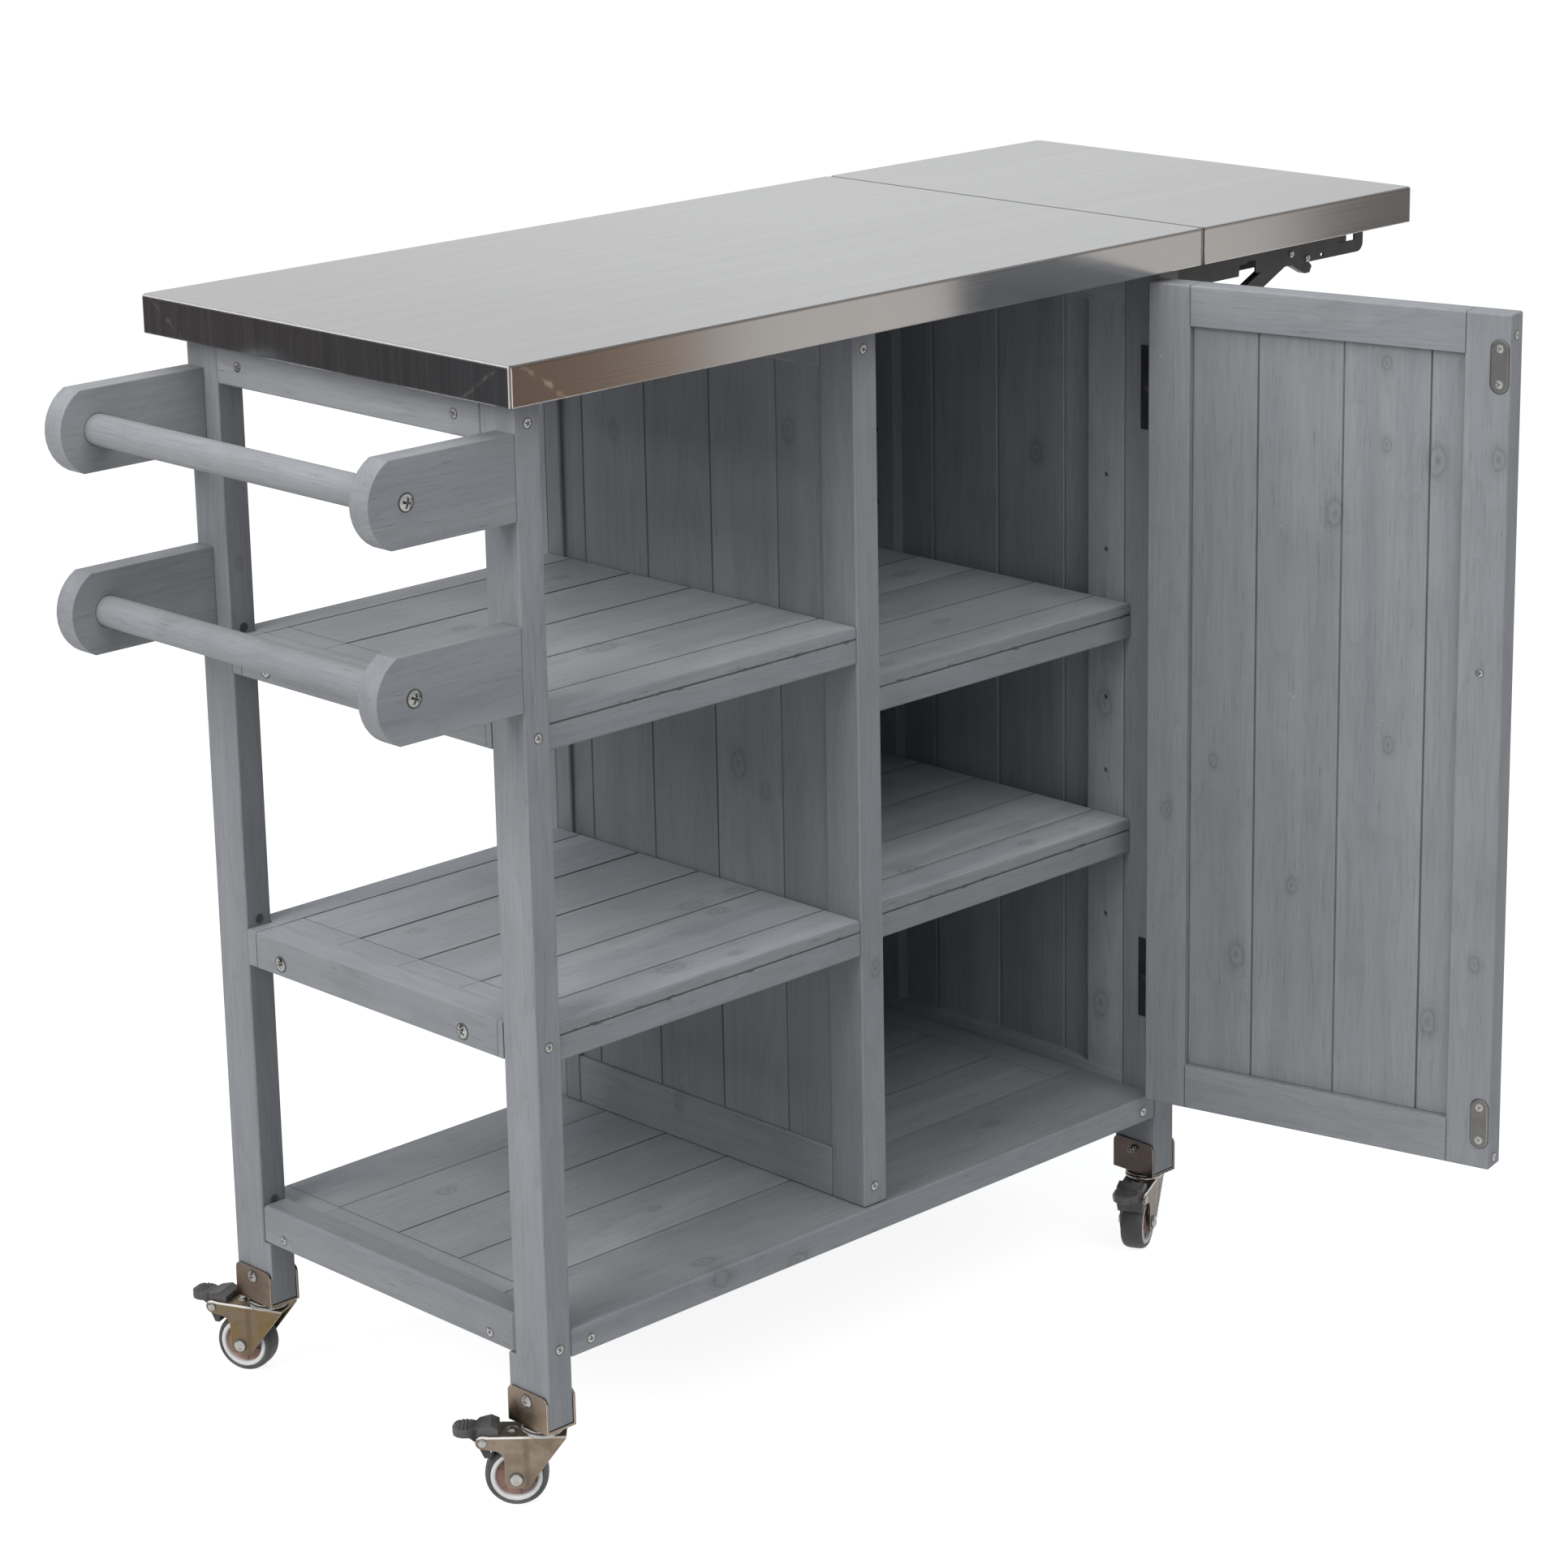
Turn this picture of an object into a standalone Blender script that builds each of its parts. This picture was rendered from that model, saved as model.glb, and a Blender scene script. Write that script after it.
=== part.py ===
"""Kitchen prep cart: steel-topped wooden cart with a drop leaf, a door and four braked casters.

Lengths are in metres and +Z is up. The pieces are placed in cart coordinates: x runs from the left
legs' outer face towards the drop leaf, y from the front face to the back, z up from the floor.
At the end they all move together, so that the origin is the centre of the whole cart's footprint,
with the door open as it stands at rest.
"""
import math

import bmesh
import bpy
from mathutils import Matrix, Vector

# Worktop and drop leaf
TOP_HEIGHT = 0.914
TOP_THICK = 0.031
SHEET = 0.0012
TOP_END_OVERHANG = 0.023
TOP_SIDE_OVERHANG = 0.0245
LEAF_LENGTH = 0.281
LEAF_GAP = 0.0015

# Carcass
BODY_LENGTH = 0.736
BODY_DEPTH = 0.393
LEG_WIDTH = 0.025
LEG_DEPTH = 0.038
LEG_BOTTOM = 0.0695
FOOT_BLOCK = 0.008
APRON_HEIGHT = 0.036
APRON_THICK = 0.020

# Bottom shelf
BASE_TOP = 0.147
BASE_BOARD_THICK = 0.023
BASE_BOARD_WIDTH = 0.092
BASE_BACK_WIDTH = 0.070
BASE_PLANK_THICK = 0.012
END_RAIL_BOTTOM = 0.1235
END_RAIL_TOP = 0.1565
END_BATTEN_WIDTH = 0.030

# Shelves
LEFT_SHELF_TOPS = (0.397, 0.6425)
RIGHT_SHELF_TOPS = (0.3935, 0.587)
SHELF_DECK = 0.010
SHELF_RAIL_HEIGHT = 0.0205
SHELF_RAIL_DEPTH = 0.0195
SHELF_FRONT_BOARD = 0.0415
SHELF_BACK_BOARD = 0.030
SHELF_END_BATTEN = 0.048
LEFT_SHELF_SETBACK = 0.0035
RIGHT_SHELF_SETBACK = 0.030

# Divider, side panel and back panel
POST_WIDTH = 0.026
POST_SETBACK = 0.003
DIVIDER_BACK_POST = 0.039
DIVIDER_RAIL_HEIGHT = 0.043
DIVIDER_RAIL_THICK = 0.018
DIVIDER_FIRST_PLANK = 0.054
DIVIDER_PLANK = 0.078
PANEL_PLANK = 0.010
STILE_WIDTH = 0.041
STILE_THICK = 0.012
PIN_HOLE_PITCH = 0.066
PIN_HOLE_FIRST = 0.300
PIN_HOLE_COUNT = 7
PIN_HOLE_RADIUS = 0.0025
PIN_HOLE_DEPTH = 0.008
PIN_HOLE_SEGMENTS = 6

# Handles
ARM_HEIGHT = 0.0655
ARM_THICK = 0.021
ARM_STRAIGHT = 0.1173
ARM_BULGE = 0.020
ARM_DROPS = (0.2355, 0.091)
ROD_RADIUS = 0.0125
ROD_DISTANCE = 0.1025
ROD_HOLE_DEPTH = 0.010

# Door, measured from its hinge axis while shut
DOOR_OPEN_ANGLE = math.radians(103)
DOOR_WIDTH = 0.3235
DOOR_THICK = 0.022
DOOR_FREE_GAP = 0.0069
DOOR_BOTTOM_GAP = 0.0046
DOOR_TOP_GAP = 0.0082
DOOR_STILE = 0.039
DOOR_TOP_RAIL = 0.034
DOOR_BOTTOM_RAIL = 0.039
DOOR_PLANK = 0.010
DOOR_FIRST_PLANK = 0.060
DOOR_PLANK_WIDTH = 0.077
DOOR_FACE_Y = 0.0005
DOOR_EDGE_ALONG = 0.0018
HINGE_AXIS_INSET = 0.0018
HINGE_AXIS_Y = -0.0035
HINGE_HEIGHT = 0.072
HINGE_RISE = 0.0644
HINGE_DROP = 0.1328
HINGE_LEAF = 0.0012
HINGE_LEAF_REACH = 0.022
KNUCKLE_RADIUS = 0.003
PIN_RADIUS = 0.0014
KNOB_INSET = 0.0199
KNOB_HEIGHT = 0.579
KNOB_RADIUS = 0.0125
KNOB_REACH = 0.022
STRIKE_INSET = 0.0095
STRIKE_RISE = 0.0398
STRIKE_DROP = 0.0423
STRIKE_WIDTH = 0.014
CATCH_HEIGHT = 0.044
CATCH_DEPTH = 0.012
STRIKE_CLEARANCE = 0.0035

# Folding bracket of the drop leaf
BRACKET_INSET = 0.019
LEAF_AXIS_REACH = 0.026
LEAF_AXIS_DROP = 0.0455
ARM_TIP_INSET = 0.0247
ARM_TIP_RADIUS = 0.008
ARM_DROP = 0.057
ARM_WIDTH = 0.020
PLATE = 0.0016
STRUT_PIVOT_BACKSET = 0.006
STRUT_PIVOT_DROP = 0.0685
STRUT_TIP_REACH = 0.134
STRUT_TIP_DROP = 0.0015
STRUT_HALF = 0.007
STRUT_WIDTH = 0.0155
LEVER_PIVOT_REACH = 0.156
LEVER_PIVOT_DROP = 0.008
EYELET_REACH = 0.176
EYELET_RADIUS = 0.0022
EYELET_RISE = 0.0045
NOTCH_STEP = 0.003
NOTCH_ROOF_STEP = 0.002
NOTCH_LENGTH = 0.0165
NOTCH_SLANT = 0.001
WINDOW_LENGTH = 0.022
WINDOW_INSET = 0.012
WINDOW_RISE = 0.011
SLOT_START = 0.018
SLOT_END = 0.042
SLOT_HEIGHT = 0.0085
LEVER_RADIUS = 0.0065
LEVER_BACK = 0.015
LEVER_TIP = 0.019
LEVER_DROP = 0.016
BRACKET_EAR = 0.0085
PIVOT_RADIUS = 0.0028
NOTCH_CLEARANCE = 0.0012
TONGUE_START = 0.060
SIDE_CLEARANCE = 0.0004
WALL_PLATE_DROP = 0.0365
WALL_PLATE_HEIGHT = 0.1375
WALL_PLATE_WIDTH = 0.024
WALL_PLATE_LIP = 0.008
WALL_PLATE_WEB = 0.012
WALL_EAR_BLEND = 0.020

# Casters
WHEEL_RADIUS = 0.025
WHEEL_WIDTH = 0.020
WHEEL_BOSS = 0.0065
WHEEL_WEB = 0.0155
WHEEL_SINK = 0.002
WHEEL_SHOULDER = 0.003
HUB_RADIUS = 0.0205
TRAIL = 0.021
FORK_HALF = 0.014
FORK_SHEET = 0.002
FORK_TOP = 0.061
FORK_BACK = 0.019
FORK_FOOT_RADIUS = 0.0052
FORK_FOOT_BACK = 0.0065
FORK_FOOT_FRONT = 0.0035
FORK_FOOT_DROP = 0.0025
FORK_NECK_RADIUS = 0.0095
FORK_NECK_DROP = 0.021
FORK_EAR = 0.0056
FORK_EAR_SLOPE = 0.006
AXLE_RADIUS = 0.003
AXLE_HEAD = 0.0045
AXLE_HEAD_HEIGHT = 0.002
NOTCH_START = 0.033
RACE_RADIUS = 0.0155
RACE_FLOOR_RADIUS = 0.013
RACE_RISE = 0.0022
RACE_RIM = 0.001
UPPER_RACE_RADIUS = 0.015
UPPER_RACE_CUP = 0.0035
UPPER_RACE_EDGE = 0.0008
RACE_CLEARANCE = 0.0006
SWIVEL_PIN_REACH = 0.004
PEDAL_PIVOT = (0.0464, 0.0562)
PEDAL_PIN_HEAD = 0.003
PEDAL_PIN_HEAD_HEIGHT = 0.0012
PEDAL_REACH = 0.024
PEDAL_PAD_RADIUS = 0.0105
PEDAL_PAD_TOP = 0.0095
PEDAL_PAD_UNDER = 0.0025
PEDAL_WAIST = 0.0075
PEDAL_WAIST_REACH = 0.0055
PEDAL_BLOCK_REACH = 0.003
PEDAL_BLOCK_BACK = 0.0125
PEDAL_BLOCK_TOP = 0.0125
PEDAL_BLOCK_LOW = 0.005
PEDAL_GROOVES = 3
PEDAL_GROOVE_START = 0.0105
PEDAL_GROOVE_PITCH = 0.003
PEDAL_GROOVE_WIDTH = 0.0016
PEDAL_GROOVE_DEPTH = 0.0008
CAM_DROP = 0.014
CAM_WIDTH = 0.004
CASTER_SHEET = 0.002
CASTER_PLATE_RISE = 0.030
CASTER_PLATE_CORNER = 0.006
CASTER_BOLT_DROP = 0.008
CASTER_HEADINGS = {
    "front_left": 136.0,
    "back_left": 114.0,
    "front_right": 206.0,
    "back_right": 150.0,
}

# Clearances and edges
GAP = 0.0003
RUNNING_GAP = 0.0004
ARRIS = 0.0012
GROOVE = 0.0010
RECESS = 0.004
BOLT_RADIUS = 0.0025
BOLT_HEAD = 0.0045
ROUND_SEGMENTS = 24
RACE_SEGMENTS = 16
WHEEL_SEGMENTS = 24
KNOB_SEGMENTS = 16
SMALL_SEGMENTS = 12
BOLT_SEGMENTS = 10
PIN_SEGMENTS = 8

# Worked-out places
TOP_UNDERSIDE = TOP_HEIGHT - TOP_THICK
LEG_HEIGHT_SPAN = (LEG_BOTTOM, TOP_UNDERSIDE - GAP)
BACK_LEG_Y = BODY_DEPTH - LEG_DEPTH
RIGHT_LEG_X = BODY_LENGTH - LEG_WIDTH
LEAF_X = BODY_LENGTH + SHEET + LEAF_GAP
HINGE_X = RIGHT_LEG_X - HINGE_AXIS_INSET
DIVIDER_RIGHT = HINGE_X - DOOR_EDGE_ALONG - DOOR_WIDTH - DOOR_FREE_GAP
DIVIDER_X = DIVIDER_RIGHT - POST_WIDTH
DIVIDER_PLANKS_END = BODY_DEPTH - DIVIDER_BACK_POST
DOOR_BOTTOM = BASE_TOP + DOOR_BOTTOM_GAP
DOOR_TOP = TOP_UNDERSIDE - DOOR_TOP_GAP
HINGE_BOTTOMS = (DOOR_BOTTOM + HINGE_RISE, DOOR_TOP - HINGE_DROP)
STRIKE_HEIGHTS = (DOOR_BOTTOM + STRIKE_RISE, DOOR_TOP - STRIKE_DROP)
LEAF_AXIS_X = BODY_LENGTH + LEAF_AXIS_REACH
LEAF_AXIS_Z = TOP_HEIGHT - LEAF_AXIS_DROP
ARM_TIP_X = LEAF_X + LEAF_LENGTH - ARM_TIP_INSET
ARM_BOTTOM_Z = TOP_HEIGHT - ARM_DROP
STRUT_PIVOT_X = LEAF_AXIS_X - STRUT_PIVOT_BACKSET
STRUT_PIVOT_Z = LEAF_AXIS_Z - STRUT_PIVOT_DROP
STRUT_TIP_X = LEAF_AXIS_X + STRUT_TIP_REACH
STRUT_TIP_Z = LEAF_AXIS_Z - STRUT_TIP_DROP
LEVER_PIVOT_X = LEAF_AXIS_X + LEVER_PIVOT_REACH
LEVER_PIVOT_Z = LEAF_AXIS_Z - LEVER_PIVOT_DROP
WALL_PLATE_TOP = TOP_HEIGHT - WALL_PLATE_DROP
WALL_PLATE_BOTTOM = WALL_PLATE_TOP - WALL_PLATE_HEIGHT
END_SPAN = (LEG_DEPTH + GAP, BACK_LEG_Y - GAP)
LEG_CORNERS = {
    "front_left": (0.0, 0.0),
    "back_left": (0.0, BACK_LEG_Y),
    "front_right": (RIGHT_LEG_X, 0.0),
    "back_right": (RIGHT_LEG_X, BACK_LEG_Y),
}
for old in list(bpy.data.objects):
    bpy.data.objects.remove(old, do_unlink=True)


def material(name, color, roughness, metallic=0.0):
    found = bpy.data.materials.get(name)
    if found:
        return found
    made = bpy.data.materials.new(name)
    made.use_nodes = True
    shader = made.node_tree.nodes["Principled BSDF"]
    shader.inputs["Base Color"].default_value = (*color, 1.0)
    shader.inputs["Roughness"].default_value = roughness
    shader.inputs["Metallic"].default_value = metallic
    return made


def grey_wood():
    return material("grey_stained_pine", (0.19, 0.21, 0.225), 0.6)


def core_board():
    return material("core_board", (0.36, 0.27, 0.18), 0.8)


def brushed_steel():
    return material("brushed_stainless", (0.62, 0.63, 0.64), 0.3, 1.0)


def zinc_steel():
    return material("zinc_plated_steel", (0.55, 0.52, 0.47), 0.35, 1.0)


def black_steel():
    return material("black_steel", (0.02, 0.02, 0.022), 0.45, 0.6)


def black_plastic():
    return material("black_plastic", (0.03, 0.03, 0.032), 0.5)


def tyre_rubber():
    return material("grey_rubber", (0.06, 0.06, 0.062), 0.75)


# Solid builders
def from_bmesh(bm, name="piece"):
    bmesh.ops.recalc_face_normals(bm, faces=bm.faces)
    mesh = bpy.data.meshes.new(name)
    bm.to_mesh(mesh)
    bm.free()
    made = bpy.data.objects.new(name, mesh)
    bpy.context.scene.collection.objects.link(made)
    return made


def add_board(bm, x, y, z, arris=ARRIS):
    """Add a board with softened edges, each span given as (low, high)."""
    spans = (x, y, z)
    centre = Vector([(low + high) / 2 for low, high in spans])
    size = Vector([high - low for low, high in spans])
    place = Matrix.Translation(centre) @ Matrix.Diagonal((*size, 1.0))
    corners = bmesh.ops.create_cube(bm, size=1.0, matrix=place)["verts"]
    if arris:
        edges = list({edge for corner in corners for edge in corner.link_edges})
        bmesh.ops.bevel(bm, geom=edges, offset=arris, segments=1, affect="EDGES")


def board(x, y, z, arris=ARRIS):
    bm = bmesh.new()
    add_board(bm, x, y, z, arris)
    return from_bmesh(bm)


def arc(centre, radius, start, end, steps):
    """Points of an arc in a plane, angles in degrees."""
    angles = [math.radians(start + (end - start) * step / steps) for step in range(steps + 1)]
    return [(centre[0] + radius * math.cos(a), centre[1] + radius * math.sin(a)) for a in angles]


def circle(centre, radius, steps=ROUND_SEGMENTS):
    return arc(centre, radius, 0, 360 * (steps - 1) / steps, steps - 1)


def prism(outline, low, high, plane="XZ"):
    """Extrude a closed outline across its plane from low to high."""
    place = {
        "XZ": lambda a, b, c: (a, c, b),
        "XY": lambda a, b, c: (a, b, c),
        "YZ": lambda a, b, c: (c, a, b),
    }[plane]
    bm = bmesh.new()
    bottom = [bm.verts.new(place(a, b, low)) for a, b in outline]
    top = [bm.verts.new(place(a, b, high)) for a, b in outline]
    bm.faces.new(bottom)
    bm.faces.new(top)
    count = len(outline)
    for index in range(count):
        after = (index + 1) % count
        bm.faces.new((bottom[index], bottom[after], top[after], top[index]))
    return from_bmesh(bm)


def turned(profile, steps=ROUND_SEGMENTS):
    """Turn a closed (radius, height) profile about Z; a radius of zero closes on the axis."""
    bm = bmesh.new()
    rings = []
    for radius, height in profile:
        if radius == 0:
            rings.append([bm.verts.new((0, 0, height))])
            continue
        angles = [2 * math.pi * step / steps for step in range(steps)]
        rings.append([bm.verts.new((radius * math.cos(a), radius * math.sin(a), height)) for a in angles])
    pairs = list(zip(rings, rings[1:]))
    if len(rings[0]) > 1:
        pairs.append((rings[-1], rings[0]))
    for lower, upper in pairs:
        for step in range(steps):
            after = (step + 1) % steps
            corners = [lower[step % len(lower)], lower[after % len(lower)]]
            corners += [upper[after % len(upper)], upper[step % len(upper)]]
            corners = list(dict.fromkeys(corners))
            if len(corners) > 2:
                bm.faces.new(corners)
    return from_bmesh(bm)


def laid(piece, axis, place):
    """Lay a piece that was turned about Z along +X, -X, +Y or -Y, and move it to its place."""
    turns = {
        "+X": Matrix.Rotation(math.pi / 2, 4, "Y"),
        "-X": Matrix.Rotation(-math.pi / 2, 4, "Y"),
        "+Y": Matrix.Rotation(-math.pi / 2, 4, "X"),
        "-Y": Matrix.Rotation(math.pi / 2, 4, "X"),
        "+Z": Matrix.Identity(4),
    }
    piece.data.transform(Matrix.Translation(place) @ turns[axis])
    return piece


def combine(base, other, operation):
    """Apply an exact Boolean and drop the second piece."""
    modifier = base.modifiers.new(operation.lower(), "BOOLEAN")
    modifier.operation = operation
    modifier.solver = "EXACT"
    modifier.object = other
    bpy.context.view_layer.update()
    evaluated = base.evaluated_get(bpy.context.evaluated_depsgraph_get())
    result = bpy.data.meshes.new_from_object(evaluated)
    base.modifiers.clear()
    base.data = result
    bpy.data.objects.remove(other, do_unlink=True)
    return base


def cut(base, *cutters):
    for cutter in cutters:
        combine(base, cutter, "DIFFERENCE")
    return base


def united(base, *others):
    for other in others:
        combine(base, other, "UNION")
    return base


def finish(piece, name, finish_material, pivot=None, smooth=False):
    """Name a piece, give it its material and put its origin on its joint axis."""
    anchor = Vector(pivot) if pivot else Vector((0, 0, 0))
    piece.data.transform(Matrix.Translation(-anchor))
    piece.location = anchor
    piece.name = name
    piece.data.name = name
    piece.data.materials.clear()
    piece.data.materials.append(finish_material)
    if smooth:
        piece.data.shade_smooth()
        piece.data.set_sharp_from_angle(angle=math.radians(35))
    return piece


def through_bolt(radius, head, length, axis, place):
    """A bolt with a domed head at its start and a nut at its end."""
    nut = head * 0.8
    profile = [
        (0, -head * 0.55), (head * 0.6, -head * 0.5), (head, -head * 0.15), (head, 0),
        (radius, 0), (radius, length), (nut, length), (nut, length + radius), (radius, length + radius),
        (radius, length + 2 * radius), (0, length + 2 * radius),
    ]
    return laid(turned(profile, BOLT_SEGMENTS), axis, place)


# Worktop
def shell_top(x, y):
    """A folded sheet tray over its core: the tray is open below."""
    z = (TOP_UNDERSIDE, TOP_HEIGHT)
    tray = board(x, y, z, 0)
    bm = bmesh.new()
    bm.from_mesh(tray.data)
    upright = [e for e in bm.edges if abs(e.verts[0].co.z - e.verts[1].co.z) > TOP_THICK / 2]
    bmesh.ops.bevel(bm, geom=upright, offset=SHEET * 1.5, segments=2, affect="EDGES")
    rim = [e for e in bm.edges if all(v.co.z > TOP_HEIGHT - SHEET / 2 for v in e.verts)]
    bmesh.ops.bevel(bm, geom=rim, offset=SHEET * 0.8, segments=2, affect="EDGES")
    bm.to_mesh(tray.data)
    bm.free()
    inner_x = (x[0] + SHEET, x[1] - SHEET)
    inner_y = (y[0] + SHEET, y[1] - SHEET)
    return cut(tray, board(inner_x, inner_y, (TOP_UNDERSIDE - SHEET, TOP_HEIGHT - SHEET), 0))


def top_core(x, y):
    inset = SHEET + GAP
    spans = ((x[0] + inset, x[1] - inset), (y[0] + inset, y[1] - inset))
    return board(*spans, (TOP_UNDERSIDE, TOP_HEIGHT - inset), 0)


def make_worktop():
    y = (-TOP_SIDE_OVERHANG, BODY_DEPTH + TOP_SIDE_OVERHANG)
    main_x = (-TOP_END_OVERHANG, BODY_LENGTH + SHEET)
    leaf_x = (LEAF_X, LEAF_X + LEAF_LENGTH)
    leaf_axis = (LEAF_AXIS_X, 0, LEAF_AXIS_Z)
    finish(shell_top(main_x, y), "worktop_steel", brushed_steel())
    finish(top_core(main_x, y), "worktop_core", core_board())
    finish(shell_top(leaf_x, y), "leaf_steel", brushed_steel(), leaf_axis)
    finish(top_core(leaf_x, y), "leaf_core", core_board(), leaf_axis)


# Carcass
def caster_centre(corner):
    """The swivel axis, in the middle of the leg and its foot block."""
    x, y = LEG_CORNERS[corner]
    shift = FOOT_BLOCK / 2 if corner.startswith("front") else -FOOT_BLOCK / 2
    return x + LEG_WIDTH / 2, y + LEG_DEPTH / 2 + shift


def caster_bolt_height():
    return LEG_BOTTOM - GAP - CASTER_SHEET + CASTER_PLATE_RISE - CASTER_BOLT_DROP


def make_legs():
    """Legs with the foot block glued to the inner side, bored for the caster's bolt."""
    for corner, (x, y) in LEG_CORNERS.items():
        leg = board((x, x + LEG_WIDTH), (y, y + LEG_DEPTH), LEG_HEIGHT_SPAN)
        if corner.startswith("front"):
            block_y = (y + LEG_DEPTH - ARRIS, y + LEG_DEPTH + FOOT_BLOCK)
        else:
            block_y = (y - FOOT_BLOCK, y + ARRIS)
        inset = ARRIS / 4
        block_x = (x + inset, x + LEG_WIDTH - inset)
        block_z = (LEG_BOTTOM + inset, END_RAIL_BOTTOM - GAP)
        leg = combine(leg, board(block_x, block_y, block_z, ARRIS / 2), "UNION")
        bore = BOLT_RADIUS + GAP
        profile = [(0, -LEG_WIDTH), (bore, -LEG_WIDTH), (bore, LEG_WIDTH), (0, LEG_WIDTH)]
        tool = turned(profile, SMALL_SEGMENTS)
        middle = (x + LEG_WIDTH / 2, caster_centre(corner)[1], caster_bolt_height())
        finish(cut(leg, laid(tool, "+X", middle)), "leg_" + corner, grey_wood())


def make_end_rails():
    apron_z = (TOP_UNDERSIDE - APRON_HEIGHT, TOP_UNDERSIDE - GAP)
    back_x = (LEG_WIDTH + GAP, RIGHT_LEG_X - GAP)
    back_y = (BODY_DEPTH - APRON_THICK, BODY_DEPTH)
    finish(board((0, APRON_THICK), END_SPAN, apron_z), "apron_left", grey_wood())
    finish(board(back_x, back_y, apron_z), "apron_back", grey_wood())
    rail = board((0, LEG_WIDTH), END_SPAN, (END_RAIL_BOTTOM, END_RAIL_TOP), 2 * ARRIS)
    finish(rail, "base_end_rail_left", grey_wood())


def even_seams(start, end, count):
    return [start + (end - start) * index / count for index in range(count + 1)]


def plank_seams(start, end, first, width):
    """Seams between whole planks, after a first one that is cut to its own width."""
    seams = [start, start + first]
    while seams[-1] + width < end - width / 4:
        seams.append(seams[-1] + width)
    return [*seams, end]


def planking(seams, thickness, length, plane, first="along"):
    """Tongued planks glued into one sheet, with a V groove at each seam on both faces."""
    low, high = thickness
    lower = [(seams[0], low)]
    upper = [(seams[0], high)]
    for seam in seams[1:-1]:
        lower += [(seam - GROOVE, low), (seam, low + GROOVE), (seam + GROOVE, low)]
        upper += [(seam - GROOVE, high), (seam, high - GROOVE), (seam + GROOVE, high)]
    outline = lower + [(seams[-1], low), (seams[-1], high)] + upper[::-1][:-1] + [upper[0]]
    if first == "through":
        outline = [(b, a) for a, b in outline]
    return prism(outline, *length, plane)


def make_bottom_shelf():
    x = (LEG_WIDTH + GAP, RIGHT_LEG_X - GAP)
    board_z = (BASE_TOP - BASE_BOARD_THICK, BASE_TOP)
    back_start = BODY_DEPTH - BASE_BACK_WIDTH
    finish(board(x, (0, BASE_BOARD_WIDTH - GAP), board_z), "base_front_board", grey_wood())
    plank_z = (BASE_TOP - BASE_PLANK_THICK, BASE_TOP)
    seams = even_seams(BASE_BOARD_WIDTH + GAP, back_start, 3)
    planks = planking(seams, plank_z, (x[0] + END_BATTEN_WIDTH, x[1] - END_BATTEN_WIDTH), "YZ")
    lap = 2 * ARRIS
    inset = GAP / 2
    batten_z = (BASE_TOP - BASE_BOARD_THICK + GAP, BASE_TOP - GAP)
    across = (BASE_BOARD_WIDTH + GAP + inset, back_start + lap)
    middle = (DIVIDER_X - END_BATTEN_WIDTH / 2, DIVIDER_X + END_BATTEN_WIDTH / 2)
    bearer_z = (batten_z[0], plank_z[0] + lap)
    parts = [
        board((x[0], x[0] + END_BATTEN_WIDTH + lap), across, batten_z, 0),
        board((x[1] - END_BATTEN_WIDTH - lap, x[1]), across, batten_z, 0),
        board(middle, across, bearer_z, 0),
        board((x[0] + inset, x[1] - inset), (back_start - lap, BODY_DEPTH), board_z, ARRIS / 2),
    ]
    finish(united(planks, *parts), "base_planks", grey_wood())


def make_divider():
    z = (BASE_TOP + GAP, TOP_UNDERSIDE - GAP)
    post_y = (POST_SETBACK, POST_SETBACK + LEG_DEPTH)
    back_y = (DIVIDER_PLANKS_END, BODY_DEPTH - APRON_THICK - GAP)
    finish(board((DIVIDER_X, DIVIDER_RIGHT), post_y, z), "divider_post", grey_wood())
    lap = 2 * GAP
    rail_x = (DIVIDER_X, DIVIDER_X + DIVIDER_RAIL_THICK)
    rail_y = (post_y[1] + GAP, back_y[0] + lap)
    bottom = (z[0], z[0] + DIVIDER_RAIL_HEIGHT)
    top = (TOP_UNDERSIDE - APRON_HEIGHT, z[1])
    plank_x = (DIVIDER_X + RECESS, DIVIDER_X + RECESS + PANEL_PLANK)
    seams = plank_seams(*rail_y, DIVIDER_FIRST_PLANK, DIVIDER_PLANK)
    planks = planking(seams, plank_x, (bottom[1] - lap, top[0] + lap), "XY", "through")
    post = board((DIVIDER_X - lap, DIVIDER_X + LEG_DEPTH), back_y, (z[0], z[1]))
    panel = united(planks, board(rail_x, rail_y, bottom), board(rail_x, rail_y, top), post)
    finish(panel, "divider_panel", grey_wood())


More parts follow.
